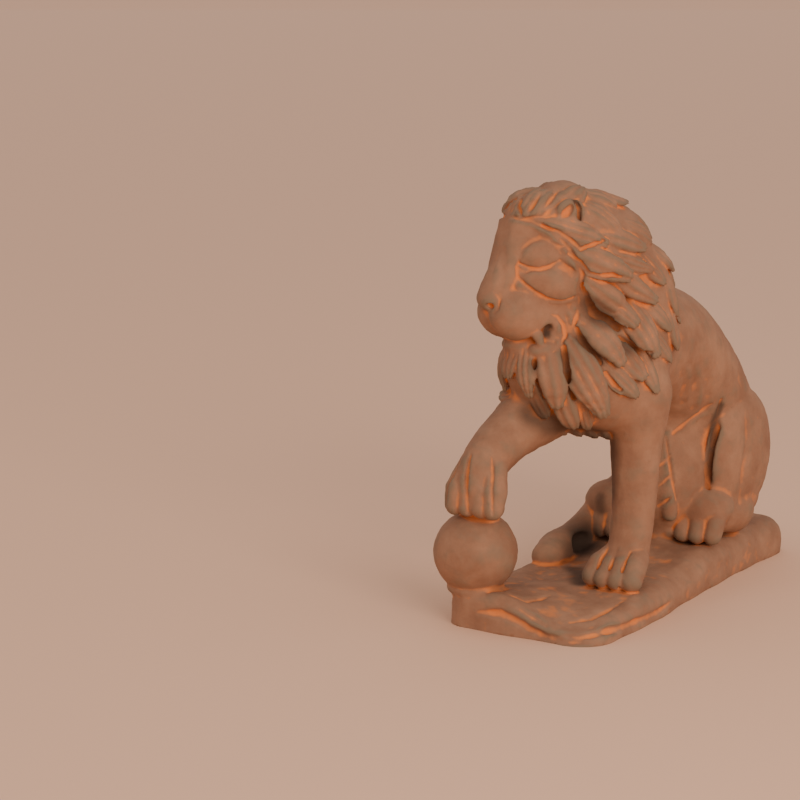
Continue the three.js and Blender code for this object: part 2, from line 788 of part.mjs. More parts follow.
function surfaceOf(clay) {
  const { values, count, min, cell } = clay;
  const points = [];
  const faces = [];
  const known = new Map();
  const place = (node) => {
    const k = node % count[2];
    const j = Math.floor(node / count[2]) % count[1];
    const i = Math.floor(node / (count[1] * count[2]));
    return new THREE.Vector3(i, j, k).multiplyScalar(cell).add(new THREE.Vector3(...min));
  };
  const crossing = (a, b) => {
    const low = Math.min(a, b);
    const high = Math.max(a, b);
    const key = low * values.length + high;
    if (!known.has(key)) {
      const t = clamp(values[low] / (values[low] - values[high]), 0.08, 0.92);
      known.set(key, points.length);
      points.push(place(low).lerp(place(high), t));
    }
    return known.get(key);
  };
  const face = (a, b, c, outward) => {
    const normal = points[b].clone().sub(points[a]).cross(points[c].clone().sub(points[a]));
    faces.push(normal.dot(outward) > 0 ? [a, b, c] : [a, c, b]);
  };
  for (let i = 0; i + 1 < count[0]; i += 1) {
    for (let j = 0; j + 1 < count[1]; j += 1) {
      for (let k = 0; k + 1 < count[2]; k += 1) {
        const corners = [];
        let inside = 0;
        for (let c = 0; c < 8; c += 1) {
          const node = clay.index(i + (c & 1), j + ((c >> 1) & 1), k + (c >> 2));
          corners.push(node);
          if (values[node] < 0) inside += 1;
        }
        if (inside === 0 || inside === 8) continue;
        for (const split of CELL_SPLIT) {
          const nodes = split.map((c) => corners[c]);
          const within = nodes.filter((node) => values[node] < 0);
          const beyond = nodes.filter((node) => values[node] >= 0);
          if (within.length === 0 || beyond.length === 0) continue;
          const outward = place(beyond[0]).sub(place(within[0]));
          if (within.length === 2) {
            const a = crossing(within[0], beyond[0]);
            const b = crossing(within[0], beyond[1]);
            const c = crossing(within[1], beyond[1]);
            const d = crossing(within[1], beyond[0]);
            face(a, b, c, outward);
            face(a, c, d, outward);
          } else {
            const [lone, others] = within.length === 1 ? [within[0], beyond] : [beyond[0], within];
            face(...others.map((node) => crossing(lone, node)), outward);
          }
        }
      }
    }
  }
  return { points, faces };
}

// Only the outer skin: small voids left between a lock and the mane are filled
function outerShell({ points, faces }) {
  const links = points.map((_, i) => i);
  const root = (v) => {
    let at = v;
    while (links[at] !== at) {
      links[at] = links[links[at]];
      at = links[at];
    }
    return at;
  };
  for (const [a, b, c] of faces) {
    links[root(b)] = root(a);
    links[root(c)] = root(a);
  }
  const sizes = new Map();
  for (const [a] of faces) sizes.set(root(a), (sizes.get(root(a)) ?? 0) + 1);
  const [largest] = [...sizes].sort((one, two) => two[1] - one[1])[0];
  return { points, faces: faces.filter(([a]) => root(a) === largest) };
}

// Smallest-first queue of edges
class Queue {
  constructor() {
    this.items = [];
  }

  push(item) {
    const items = this.items;
    let at = items.push(item) - 1;
    while (at > 0) {
      const parent = (at - 1) >> 1;
      if (items[parent].cost <= item.cost) break;
      items[at] = items[parent];
      at = parent;
    }
    items[at] = item;
  }

  pop() {
    const items = this.items;
    const top = items[0];
    const last = items.pop();
    const size = items.length;
    let at = 0;
    while (size > 0) {
      let child = 2 * at + 1;
      if (child >= size) break;
      if (child + 1 < size && items[child + 1].cost < items[child].cost) child += 1;
      if (items[child].cost >= last.cost) break;
      items[at] = items[child];
      at = child;
    }
    if (size > 0) items[at] = last;
    return top;
  }
}

// How much the finished mesh cares about a place: the face and mane keep more triangles
function care(p) {
  const headness = clamp((p.z - 300) / 120, 0, 1);
  const forwardness = p.clone().sub(NECK).dot(FORWARD) > 40 ? 2.5 : 1;
  return lerp(0.6, 1.6 * forwardness, headness);
}

// Plane error of a vertex as the ten numbers of a symmetric 4 x 4 matrix
function addPlane(sums, at, n, d, weight) {
  const v = [n.x, n.y, n.z, d];
  let slot = at * 10;
  for (let i = 0; i < 4; i += 1) {
    for (let j = i; j < 4; j += 1) {
      sums[slot] += weight * v[i] * v[j];
      slot += 1;
    }
  }
}

function planeError(q, p) {
  const { x, y, z } = p;
  const xx = q[0] * x * x + 2 * q[1] * x * y + 2 * q[2] * x * z + 2 * q[3] * x;
  const yy = q[4] * y * y + 2 * q[5] * y * z + 2 * q[6] * y;
  return xx + yy + q[7] * z * z + 2 * q[8] * z + q[9];
}

// Joins the cheapest edge again and again until the mesh has the wanted number of triangles
function simplify({ points, faces }, wanted) {
  const sums = new Float64Array(points.length * 10);
  const fans = points.map(() => new Set());
  const stamps = new Uint32Array(points.length);
  const holdNear = 0.002;
  faces.forEach((face, index) => {
    const [a, b, c] = face.map((v) => points[v]);
    const normal = b.clone().sub(a).cross(c.clone().sub(a));
    const area = normal.length() / 2;
    normal.normalize();
    for (const v of face) {
      const weight = area * care(points[v]);
      addPlane(sums, v, normal, -normal.dot(a), weight);
      for (const axis of WORLD_AXES) {
        addPlane(sums, v, axis, -axis.dot(points[v]), weight * holdNear);
      }
      fans[v].add(index);
    }
  });
  const around = (v) => {
    const ring = new Set();
    for (const f of fans[v]) for (const u of faces[f]) if (u !== v) ring.add(u);
    return ring;
  };
  const matrix = new THREE.Matrix3();
  const plan = (a, b) => {
    const q = new Float64Array(10);
    for (let i = 0; i < 10; i += 1) q[i] = sums[a * 10 + i] + sums[b * 10 + i];
    matrix.set(q[0], q[1], q[2], q[1], q[4], q[5], q[2], q[5], q[7]);
    const best = new THREE.Vector3(-q[3], -q[6], -q[8]).applyMatrix3(matrix.invert());
    const reach = points[a].distanceTo(points[b]) * 2;
    const middle = points[a].clone().lerp(points[b], 0.5);
    const target = best.distanceTo(middle) < reach ? best : middle;
    return { a, b, target, cost: planeError(q, target), stampA: stamps[a], stampB: stamps[b] };
  };
  const turned = (v, other, target) => {
    for (const f of fans[v]) {
      const face = faces[f];
      if (face.includes(other)) continue;
      const at = face.indexOf(v);
      const p = points[face[(at + 1) % 3]];
      const edge = points[face[(at + 2) % 3]].clone().sub(p);
      const before = edge.clone().cross(points[v].clone().sub(p));
      const after = edge.clone().cross(target.clone().sub(p));
      if (before.dot(after) < 0.25 * before.length() * after.length()) return true;
      if (after.length() < 0.06 * edge.lengthSq()) return true;
    }
    return false;
  };
  const queue = new Queue();
  for (let v = 0; v < points.length; v += 1) {
    for (const u of around(v)) if (u > v) queue.push(plan(v, u));
  }
  let left = faces.length;
  while (left > wanted && queue.items.length > 0) {
    const { a, b, target, stampA, stampB } = queue.pop();
    if (stamps[a] !== stampA || stamps[b] !== stampB) continue;
    const ringA = around(a);
    const shared = [...around(b)].filter((u) => ringA.has(u));
    if (shared.length !== 2 || turned(a, b, target) || turned(b, a, target)) continue;
    for (const f of fans[b]) {
      if (faces[f].includes(a)) {
        for (const v of faces[f]) if (v !== b) fans[v].delete(f);
        faces[f] = null;
        left -= 1;
      } else {
        faces[f] = faces[f].map((v) => (v === b ? a : v));
        fans[a].add(f);
      }
    }
    fans[b] = new Set();
    points[a] = target;
    for (let i = 0; i < 10; i += 1) sums[a * 10 + i] += sums[b * 10 + i];
    stamps[a] += 1;
    stamps[b] += 1;
    for (const u of around(a)) queue.push(plan(a, u));
  }
  return { points, faces: faces.filter((face) => face !== null) };
}

// Vertices and triangles as the arrays that a solid is made of
function meshArrays({ points, faces }) {
  const used = new Map();
  for (const v of faces.flat()) if (!used.has(v)) used.set(v, used.size);
  const vertProperties = new Float32Array(used.size * 3);
  for (const [v, at] of used) points[v].toArray(vertProperties, at * 3);
  const triVerts = new Uint32Array(faces.flat().map((v) => used.get(v)));
  return { numProp: 3, vertProperties, triVerts };
}

const wasm = await Module();
wasm.setup();

function solidOf(mesh) {
  return new wasm.Manifold(new wasm.Mesh(mesh));
}

// A block from z = 0 up, larger than the figure: what lies below it is cut away flat
function aboveUnderside() {
  const size = 1000;
  const box = new THREE.BoxGeometry(size, size, size).translate(0, 0, size / 2);
  const corners = box.getAttribute('position');
  const points = [];
  const faces = [];
  const known = new Map();
  for (let i = 0; i < box.index.count; i += 1) {
    const p = new THREE.Vector3().fromBufferAttribute(corners, box.index.getX(i));
    const key = p.toArray().join();
    if (!known.has(key)) known.set(key, points.push(p) - 1);
    if (i % 3 === 0) faces.push([]);
    faces[faces.length - 1].push(known.get(key));
  }
  return solidOf(meshArrays({ points, faces }));
}

function figure() {
  const clay = new Clay(GRID_MIN, GRID_MAX, CELL);
  clay.add(baseSlab(), 0.1);
  clay.add(egg(BALL_CENTRE, [BALL_RADIUS, BALL_RADIUS, BALL_RADIUS]), 9);
  clay.add(egg(BALL_COLLAR, [43, 43, 15]), 6);
  trunk(clay);
  hindLeg(clay, 1, 63, 98, -8);
  hindLeg(clay, -1, 66, 140, -50);
  standingForeleg(clay);
  raisedForeleg(clay);
  maneBulk(clay);
  maneLocks(clay);
  mask(clay);
  mouth(clay);
  faceLines(clay);
  ears(clay);
  maneGaps(clay);
  tail(clay);
  coat(clay);
  paws(clay);
  chest(clay);
  const skin = simplify(outerShell(surfaceOf(clay)), TRIANGLES);
  return solidOf(meshArrays(skin)).intersect(aboveUnderside()).getMesh();
}

const cast = figure();
const geometry = new THREE.BufferGeometry();
geometry.setAttribute('position', new THREE.BufferAttribute(cast.vertProperties, 3));
geometry.setIndex(new THREE.BufferAttribute(cast.triVerts, 1));
geometry.computeVertexNormals();

const concrete = new THREE.MeshStandardMaterial({
  color: 0x8f5f42,
  roughness: 0.92,
  metalness: 0,
});
const lion = new THREE.Mesh(geometry, concrete);
lion.name = 'lion';

const part = new THREE.Group();
part.name = 'seated_lion_with_ball';
part.add(lion);

export default part;
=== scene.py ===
# %% [markdown]
# # A seated concrete lion
#
# The real figure is one casting: a lion with one forepaw raised on a ball, on a thin slab base.
# It is cast from a mould, stained brown and rubbed back, so rust stays in the recesses.
# Sizes below are in millimetres; the finished mesh is turned to metres at the end.

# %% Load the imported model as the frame
import math

import bmesh
import bpy
import numpy as np
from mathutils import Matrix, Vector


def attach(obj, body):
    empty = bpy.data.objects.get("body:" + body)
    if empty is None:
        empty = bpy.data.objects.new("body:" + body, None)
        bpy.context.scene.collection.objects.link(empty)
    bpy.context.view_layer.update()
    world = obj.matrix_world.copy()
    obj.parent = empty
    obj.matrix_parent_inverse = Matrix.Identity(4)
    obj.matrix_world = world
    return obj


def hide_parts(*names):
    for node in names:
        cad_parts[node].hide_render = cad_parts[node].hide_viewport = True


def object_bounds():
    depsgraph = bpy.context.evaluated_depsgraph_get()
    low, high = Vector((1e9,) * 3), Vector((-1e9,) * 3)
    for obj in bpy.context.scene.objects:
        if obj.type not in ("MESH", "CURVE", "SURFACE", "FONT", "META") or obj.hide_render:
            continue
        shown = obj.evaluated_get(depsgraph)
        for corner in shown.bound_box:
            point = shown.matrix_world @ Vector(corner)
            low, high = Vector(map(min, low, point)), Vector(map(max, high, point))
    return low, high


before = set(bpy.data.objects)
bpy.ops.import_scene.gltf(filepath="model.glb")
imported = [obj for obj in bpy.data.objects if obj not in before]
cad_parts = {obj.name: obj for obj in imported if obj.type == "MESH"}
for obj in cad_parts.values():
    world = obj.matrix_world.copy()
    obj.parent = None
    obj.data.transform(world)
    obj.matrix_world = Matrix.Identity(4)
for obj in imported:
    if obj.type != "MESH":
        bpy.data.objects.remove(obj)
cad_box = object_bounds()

import openvdb
from mathutils import Vector, noise

print("CAD box", cad_box)

# %% [markdown]
# ## Directions of the head
#
# The lion faces -Y and its left side is at +X, but the head is turned to its right.
# Giving the head its own forward, left and up directions lets each feature be placed
# as a carver would measure it, so much ahead of the neck and so much to the side.

# %% Set the head's directions
HEAD_TURN = math.radians(28)
NECK = np.array([0.0, -150.0, 0.0])
FORWARD = np.array([-math.sin(HEAD_TURN), -math.cos(HEAD_TURN), 0.0])
LEFT = np.array([math.cos(HEAD_TURN), -math.sin(HEAD_TURN), 0.0])
UP = np.array([0.0, 0.0, 1.0])
HEAD_AXES = (FORWARD, LEFT, UP)
WORLD_AXES = tuple(np.eye(3))
MASK_CENTRE = 520


def unit(v):
    return np.asarray(v, float) / np.linalg.norm(v)


def turned(forward, left, up):
    return FORWARD * forward + LEFT * left + UP * up


def head(forward, left, height):
    return NECK + turned(forward, left, height)


def station(point, radius):
    return (*point, radius)


print("nose points along", np.round(FORWARD, 3))

# %% [markdown]
# ## Clay
#
# Cast hair, cheeks and muscles run into each other with soft valleys. Joining separate
# meshes leaves hard seams there, so the forms are first modelled as clay: a grid that
# holds the distance to the surface, to which each form is added with a chosen softness.
# OpenVDB then draws one closed skin over the grid, and bmesh finishes it.

# %% Make the clay
GRAIN = 2.2
LOW = np.array([-190.0, -410.0, -22.0])
HIGH = np.array([160.0, 380.0, 680.0])


class Clay:
    """Signed distance in millimetres on a regular grid, negative inside."""

    def __init__(self):
        self.axes = [np.arange(a, b, GRAIN, dtype=np.float32) for a, b in zip(LOW, HIGH)]
        self.values = np.full([len(a) for a in self.axes], 60.0, np.float32)

    def window(self, low, high):
        """The part of the grid between two corners, with its coordinates."""
        cut = []
        for axis in range(3):
            size = len(self.axes[axis])
            start = int(np.clip((low[axis] - LOW[axis]) // GRAIN, 0, size - 1))
            end = int(np.clip((high[axis] - LOW[axis]) // GRAIN + 2, start + 1, size))
            cut.append(slice(start, end))
        x = self.axes[0][cut[0]][:, None, None]
        y = self.axes[1][cut[1]][None, :, None]
        z = self.axes[2][cut[2]][None, None, :]
        return tuple(cut), x, y, z

    def add(self, cut, distance, blend):
        old = self.values[cut]
        h = np.clip(0.5 + 0.5 * (old - distance) / blend, 0, 1)
        self.values[cut] = old * (1 - h) + distance * h - blend * h * (1 - h)

    def carve(self, cut, distance, blend):
        old = self.values[cut]
        h = np.clip(0.5 - 0.5 * (old + distance) / blend, 0, 1)
        self.values[cut] = old * (1 - h) - distance * h + blend * h * (1 - h)

    def at(self, p):
        """Distance at one point, linear between the grid's values."""
        q = (np.asarray(p) - LOW) / GRAIN
        o = np.clip(np.floor(q).astype(int), 0, np.array(self.values.shape) - 2)
        t = q - o
        b = self.values[o[0] : o[0] + 2, o[1] : o[1] + 2, o[2] : o[2] + 2]
        b = b[0] * (1 - t[0]) + b[1] * t[0]
        b = b[0] * (1 - t[1]) + b[1] * t[1]
        return float(b[0] * (1 - t[2]) + b[1] * t[2])

    def normal(self, p):
        return unit([self.at(p + 7 * axis) - self.at(p - 7 * axis) for axis in WORLD_AXES])

    def onto(self, p):
        for _ in range(5):
            p = p - self.normal(p) * np.clip(self.at(p), -20, 20)
        return p


clay = Clay()
print("clay grid", clay.values.shape)

# %% [markdown]
# ## Two tools
#
# A carver's figure can be read as eggs and limbs. An egg is an ellipsoid that may be
# turned; a limb is a chain of tapered round links, which can be flattened into a tongue
# and grooved along its length for hair. Both can be added or carved away. Metaballs know
# the same two shapes, but they neither carve nor groove, so the clay has its own.


# %% Make an egg
def egg(centre, radii, blend, axes=WORLD_AXES, carve=False):
    reach = max(radii) + blend + 2 * GRAIN
    centre = np.asarray(centre, float)
    cut, x, y, z = clay.window(centre - reach, centre + reach)
    near = far = 0
    for axis, radius in zip(axes, radii):
        a = unit(axis)
        q = (a[0] * (x - centre[0]) + a[1] * (y - centre[1]) + a[2] * (z - centre[2])) / radius
        near = near + q * q
        far = far + (q / radius) ** 2
    k = np.sqrt(near)
    distance = (k * (k - 1) / (np.sqrt(far) + 1e-6)).astype(np.float32)
    (clay.carve if carve else clay.add)(cut, distance, blend)


print("eggs ready")


# %% Make a limb
def limb(stations, blend, ups=None, flatness=1.0, strands=0, groove=0.0, carve=False):
    points = np.array([s[:3] for s in stations], float)
    radii = np.array([s[3] for s in stations], float)
    reach = blend + 2 * GRAIN
    low = (points - radii[:, None]).min(0) - reach
    high = (points + radii[:, None]).max(0) + reach
    cut, x, y, z = clay.window(low, high)
    best = np.inf
    for i in range(len(points) - 1):
        a = points[i]
        run = points[i + 1] - a
        square = float(run @ run)
        px, py, pz = x - a[0], y - a[1], z - a[2]
        t = np.clip((px * run[0] + py * run[1] + pz * run[2]) / square, 0, 1)
        vx, vy, vz = px - t * run[0], py - t * run[1], pz - t * run[2]
        length = np.sqrt(vx * vx + vy * vy + vz * vz) + 1e-6
        radius = radii[i] + (radii[i + 1] - radii[i]) * t
        link = length - radius
        if ups is not None:
            up = ups[i] + ups[i + 1]
            up = unit(up - run * (up @ run) / square)
            across = vx * up[0] + vy * up[1] + vz * up[2]
            swollen = np.sqrt(length * length + across * across * (1 / flatness**2 - 1))
            link = (swollen - radius) * (length / swollen)
            if strands:
                side = np.cross(run / math.sqrt(square), up)
                u = (vx * side[0] + vy * side[1] + vz * side[2]) / np.maximum(radius, 1)
                comb = 0.5 - 0.5 * np.cos(u * math.pi * strands)
                link = link + groove * comb * np.clip(radius / 8, 0, 1)
        best = np.minimum(best, link)
    (clay.carve if carve else clay.add)(cut, best.astype(np.float32), blend)


print("limbs ready")

# %% [markdown]
# ## Smooth courses
#
# A back, a leg or a tail bends evenly. Few stations are easy to place but leave corners
# between the links, so a curve that passes through them adds the stations in between.


# %% Smooth a course
def smooth(stations, steps):
    """A Catmull-Rom curve through a few stations, with the radius carried along."""
    knots = np.array(stations, float)
    knots = np.vstack([2 * knots[0] - knots[1], knots, 2 * knots[-1] - knots[-2]])
    out = []
    for i in range(1, len(knots) - 2):
        a, b, c, d = knots[i - 1 : i + 3]
        for j in range(steps):
            t = j / steps
            bend = (2 * a - 5 * b + 4 * c - d) * t * t + (3 * b - a - 3 * c + d) * t**3
            out.append(0.5 * (2 * b + (c - a) * t + bend))
    out.append(knots[-2])
    return out


bend = smooth([(0, 0, 0, 1), (0, 1, 0, 1), (1, 1, 0, 1)], 4)
print("a smooth course through 3 stations has", len(bend))

# %% [markdown]
# ## Base and ball
#
# The slab is a rough casting like worn rock: wandering sides, an edge worn rounder on the
# left side, and an uneven top, higher at the narrow rear and falling away at the front
# left corner. It is one distance formula, because the unevenness has to melt into the
# paws. The ball stands in a low collar at the front right corner.


# %% Lay the base
def base_slab():
    half_length, thickness = 356, 46
    cut, x, y, z = clay.window((-175, -385, -22), (175, 385, 100))
    edge_round = 18 + 14 * np.clip(x / 60, 0, 1) * np.clip((y + 240) / 120, 0, 1)
    half_width = 128 - 17 * np.clip((y + 150) / 250, 0, 1)
    corner = np.where(y > 0, 32, np.where(x < 0, 34, 62))
    bulge = 4 * np.exp(-(((y + 300) / 60) ** 2)) * (x < 0)
    qx = np.abs(x) - (half_width + bulge - corner)
    qy = np.abs(y) - (half_length - corner)
    outline = np.hypot(np.maximum(qx, 0), np.maximum(qy, 0)) + np.minimum(np.maximum(qx, qy), 0)
    wander = 2.5 * np.sin(y / 23 + 1) * np.sin(y / 61) + 2 * np.sin(x / 19) * np.cos(z / 17)
    front = np.clip((-y - 215) / 130, 0, 1)
    slope = np.clip((x + 60) / 160, 0, 1)
    fall = front * (12 - 42 * slope * slope * (3 - 2 * slope))
    climb = np.clip((y + 50) / 120, 0, 1)
    rise = 15 * climb * climb * (3 - 2 * climb)
    ripple = 1.6 * np.sin(x / 21 + y / 37) * np.sin(y / 29 - x / 43)
    top = thickness + fall + rise + ripple
    half = (top + 20) / 2
    a = outline - corner + wander + edge_round
    b = np.abs(z - top + half) - half + edge_round
    outside = np.hypot(np.maximum(a, 0), np.maximum(b, 0))
    distance = outside + np.minimum(np.maximum(a, b), 0) - edge_round
    clay.add(cut, distance.astype(np.float32), 1)


base_slab()
print("clay at the middle of the top", round(clay.at((0, 0, 46)), 1))

# %% Set the ball on it
BALL_RADIUS = 63
BALL_CENTRE = (-100, -317, 108)
COLLAR_CENTRE = (-100, -317, 54)
egg(BALL_CENTRE, (BALL_RADIUS, BALL_RADIUS, BALL_RADIUS), 9)
egg(COLLAR_CENTRE, (43, 43, 15), 6)
print("ball of", 2 * BALL_RADIUS, "mm")

# %% [markdown]
# ## Trunk
#
# The trunk is one fat limb that climbs from the rump over the arched back to the withers,
# as the spine does, with an egg for the belly in front of the haunches.


# %% Build the trunk
def trunk():
    back = [
        (0, 196, 100, 84),
        (0, 222, 190, 106),
        (0, 192, 262, 104),
        (0, 130, 330, 101),
        (0, 45, 384, 98),
        (0, -70, 395, 90),
    ]
    limb(smooth(back, 6), 10)
    egg((0, 112, 170), (77, 86, 112), 30)


trunk()
print("trunk built")

# %% [markdown]
# ## Hind legs
#
# Each haunch is a flat egg standing on its edge, as on the real one, with the folded leg
# and four toes in front. Both legs come from one function, because only the places of
# knee and paw differ: the right paw is drawn back beside the tail.

# %% Build the hind legs
TOES = (-1.5, -0.5, 0.5, 1.5)


def hind_leg(side, foot, front, shift):
    """foot is how far the paw stands from the middle, front where the knee ends."""
    rear = 304
    middle = (front + rear) / 2
    egg((side * 84, middle, 192), (38, rear - middle, 108), 3)
    shin = [
        (side * 82, 226, 112, 28),
        (side * 80, 190 + shift * 0.3, 100, 40),
        (side * (foot + 4), 142 + shift, 108, 40),
        (side * foot, 116 + shift, 90, 34),
    ]
    limb(shin, 6)
    egg((side * (foot + 6), 123 + shift, 115), (48, 44, 37), 6)
    for o in TOES:
        curl = abs(o)
        toe = [
            (side * (foot + o * 17), 126 + shift, 118, 22),
            (side * (foot + o * 23), 96 + shift + curl * 4, 103 - curl * 5, 18),
            (side * (foot + o * 24), 82 + shift + curl * 6, 77, 15),
        ]
        limb(toe, 2.5)


hind_leg(1, 63, 98, -8)
hind_leg(-1, 66, 140, -50)
print("hind legs built, toes", 2 * len(TOES))

# %% [markdown]
# ## Forelegs
#
# The standing foreleg is almost a column. The raised one bends down on to the ball, on
# which it rests with the pad behind its toes. The toes are limbs of their own with a
# tight blend, so the gaps between them stay sharp.


# %% Build the standing foreleg
def standing_foreleg():
    egg((68, -120, 330), (46, 50, 92), 8)
    column = [
        (68, -118, 335, 48),
        (63, -118, 262, 40),
        (66, -126, 180, 34),
        (66, -138, 110, 32),
        (64, -150, 78, 34),
    ]
    limb(smooth(column, 3), 5)
    for o in TOES:
        toe = [
            (65 + o * 12, -150, 88, 20),
            (65 + o * 19, -176, 78, 19),
            (64 + o * 21.5, -197 + abs(o) * 4, 62, 17),
        ]
        limb(toe, 2.5)


standing_foreleg()
print("standing foreleg built")


# %% Build the raised foreleg
def raised_foreleg():
    reach = [
        (-52, -120, 342, 58),
        (-60, -190, 312, 52),
        (-74, -262, 282, 41),
        (-84, -312, 250, 36),
        (-87, -328, 215, 36),
    ]
    limb(smooth(reach, 3), 14)
    for o in TOES:
        toe = [
            (-84 + o * 15, -324, 242, 17),
            (-83 + o * 21, -344, 209, 19),
            (-83 + o * 22, -350, 184, 15),
        ]
        limb(toe, 2.5)
    egg((-88, -320, 178), (36, 28, 22), 4)


raised_foreleg()
print("raised foreleg built")

# %% [markdown]
# ## Bulk of the mane
#
# Under the locks the mane is a few big masses: crown, nape, shoulders, chest and beard.
# They are joined softly, and a copy is kept as the ground that the locks follow.


# %% Build up the mane
def mane_bulk():
    egg(head(32, 0, 544), (90, 86, 101), 20, HEAD_AXES)
    egg((8, -89, 474), (88, 81, 102), 20)
    egg((5, -105, 410), (98, 100, 108), 20)
    egg((-10, -185, 380), (84, 78, 94), 20)
    egg(head(85, 0, 384), (57, 58, 62), 20, HEAD_AXES)
    egg(head(74, 0, 456), (56, 52, 62), 20, HEAD_AXES)
    egg((22, -150, 345), (70, 74, 66), 16)
    egg(head(84, 0, 575), (64, 62, 61), 8, HEAD_AXES)
    egg(head(98, 0, 612), (42, 44, 27), 8, HEAD_AXES)
    egg(head(56, 0, 629), (36, 40, 29), 8, HEAD_AXES)
    egg((14, -125, 530), (66, 62, 90), 16)


mane_bulk()
ground = Clay()
ground.values = clay.values.copy()
print("crown height", round(ground.at(head(25, 0, 640)), 1))

# %% [markdown]
# ## Locks
#
# The locks lie in rings around the face like shingles, long and thick in front and
# small at the back. Hair curves could draw them, but this hair is cast, so each lock is
# a solid tongue. First come the rules that all locks share: which way the hair falls,
# where the mane ends, where a lock starts, and a fixed scatter that keeps the locks
# from looking stamped.


# %% Set how the hair falls
def scatter(seed):
    """Repeatable numbers between -1 and 1."""
    state = seed
    while True:
        state = (state * 1664525 + 1013904223) % 2**32
        yield state / 2**31 - 1


def hair_flow(p):
    q = p - NECK
    around = abs(math.degrees(math.atan2(q @ LEFT, p[2] - MASK_CENTRE)))
    fall = np.interp(around, [0, 40, 70, 90, 120, 180], [-6, 8, 24, 42, 50, 60])
    slope = math.radians(fall + 35 * np.clip(-(q @ FORWARD) / 140, 0, 1))
    return -FORWARD * math.cos(slope) - UP * math.sin(slope)


print("hair over the brow falls along", np.round(hair_flow(head(60, 0, 640)), 2))


# %% Set where the mane ends and where a lock starts
def along(p, heading, distance):
    n = ground.normal(p)
    return ground.onto(p + unit(heading - n * (heading @ n)) * distance)


def mane_edge(p):
    edge = np.interp(p[1], [-260, -215, -112, -70, -40, -5], [312, 320, 338, 385, 440, 540])
    chest = np.clip((70 - abs(p[0] - 10)) / 25, 0, 1) if p[1] < -150 else 0
    shoulder = np.clip((p[0] - 40) / 25, 0, 1) if p[1] < -90 else 0
    return edge - 45 * chest + 60 * shoulder


def lock_root(depth, lean, angle):
    angle = angle - 0.06 * math.sin(2 * angle)
    height = np.interp(depth, [-206, -90, 60], [430, 455, 515])
    behind = np.clip(-depth / 100, 0, 1)
    p = head(max(depth, 0), 0, height)
    p[1] -= min(depth, 0)
    side = LEFT * (1 - behind) + WORLD_AXES[0] * behind
    upright = math.cos(angle)
    ray = unit(side * math.sin(angle) * 75 + UP * upright * 110 + FORWARD * lean * upright**4)
    for _ in range(48):
        if ground.at(p) >= 0:
            break
        p = p + ray * 5
    return ground.onto(p)


print("top lock starts at", np.round(lock_root(4, 70, 0)))

# %% [markdown]
# ## One lock
#
# A lock is broad in the middle, blunt at the tip and lifted there, so the next one can
# lie under it. It is a limb flattened along the ground's normal, with two to four
# grooves for strands. Its course either follows the fall of the hair or runs from a
# drawn root to a drawn tip.


# %% Shape one lock
def lock(path, width, lift, flatness, strands):
    """A flat tongue over ground points: broad, blunt at the tip and lifted there."""
    stations = []
    ups = []
    for i, p in enumerate(path):
        t = i / (len(path) - 1)
        n = ground.normal(p)
        belly = 0.74 + 0.26 * math.sin(math.pi * min(1, t * 1.1))
        tip = 1 - 0.3 * max(0, (t - 0.65) / 0.35) ** 2
        stations.append(station(p + n * (lift * t**1.2 - 4), 0.5 * width * belly * tip))
        ups.append(n)
    limb(stations, 1.5, ups, flatness, strands, 2.8)


print("lock ready")

# %% Lay a course for a lock
STEPS = 7


def falling_path(root, length, sway):
    """Ground points down the fall of the hair, swaying a little from side to side."""
    path = [root]
    for i in range(STEPS):
        p = path[-1]
        heading = hair_flow(p)
        wave = sway * math.sin(math.pi * 1.6 * i / STEPS)
        heading = heading + np.cross(ground.normal(p), heading) * wave
        path.append(along(p, heading, length / STEPS))
    return path


def drawn_path(root, tip):
    """Ground points from a root to a tip, both given in the head's directions."""
    end = head(*tip)
    path = [ground.onto(head(*root))]
    for i in range(STEPS):
        p = path[-1]
        n = ground.normal(p)
        reach = end - p
        path.append(ground.onto(p + (reach - n * (reach @ n)) / (STEPS - i)))
    return path


print("one lock has", STEPS + 1, "stations")

# %% [markdown]
# ## Large locks
#
# The large locks around the face are what gives this lion its character, so each is
# listed one by one: root and tip in the head's directions, and width. They are symmetrical
# about the nose, and laid from the shoulder up to the face, so each row lies on the
# row behind it.

# %% Place the large locks of the left side
THIRD_ROW = [
    ((-30, 83, 410), (-52, 98, 350), 32),
    ((-60, 80, 430), (-92, 80, 390), 30),
    ((-52, 78, 480), (-88, 66, 436), 32),
    ((-30, 64, 602), (-78, 40, 566), 36),
    ((-44, 60, 546), (-82, 54, 504), 34),
]
SECOND_ROW = [
    ((118, 30, 340), (98, 28, 314), 30),
    ((58, 66, 326), (38, 52, 296), 28),
    ((90, 56, 345), (64, 50, 304), 42),
    ((33, 88, 392), (-12, 92, 348), 40),
    ((10, 82, 422), (-28, 90, 372), 44),
    ((-16, 74, 478), (-50, 88, 406), 50),
    ((8, 86, 524), (-60, 68, 480), 40),
    ((24, 88, 550), (-56, 62, 526), 34),
    ((28, 80, 582), (-40, 60, 558), 36),
    ((42, 50, 622), (4, 74, 588), 38),
    ((40, 22, 640), (-10, 36, 622), 36),
]
FACE_ROW = [
    ((143, 8, 420), (139, 4, 376), 34),
    ((127, 24, 420), (122, 27, 354), 38),
    ((108, 48, 414), (94, 55, 342), 50),
    ((84, 60, 424), (37, 82, 330), 56),
    ((64, 58, 468), (18, 88, 398), 54),
    ((62, 74, 510), (-18, 74, 450), 54),
    ((86, 66, 560), (0, 84, 524), 50),
    ((124, 43, 602), (38, 82, 572), 44),
    ((100, 46, 614), (46, 38, 646), 44),
    ((137, 27, 606), (90, 16, 650), 46),
    ((151, 9, 597), (130, 8, 644), 30),
]


def mirrored(place, side):
    return place[0], place[1] * side, place[2]


print("large locks on the left side", len(THIRD_ROW + SECOND_ROW + FACE_ROW))

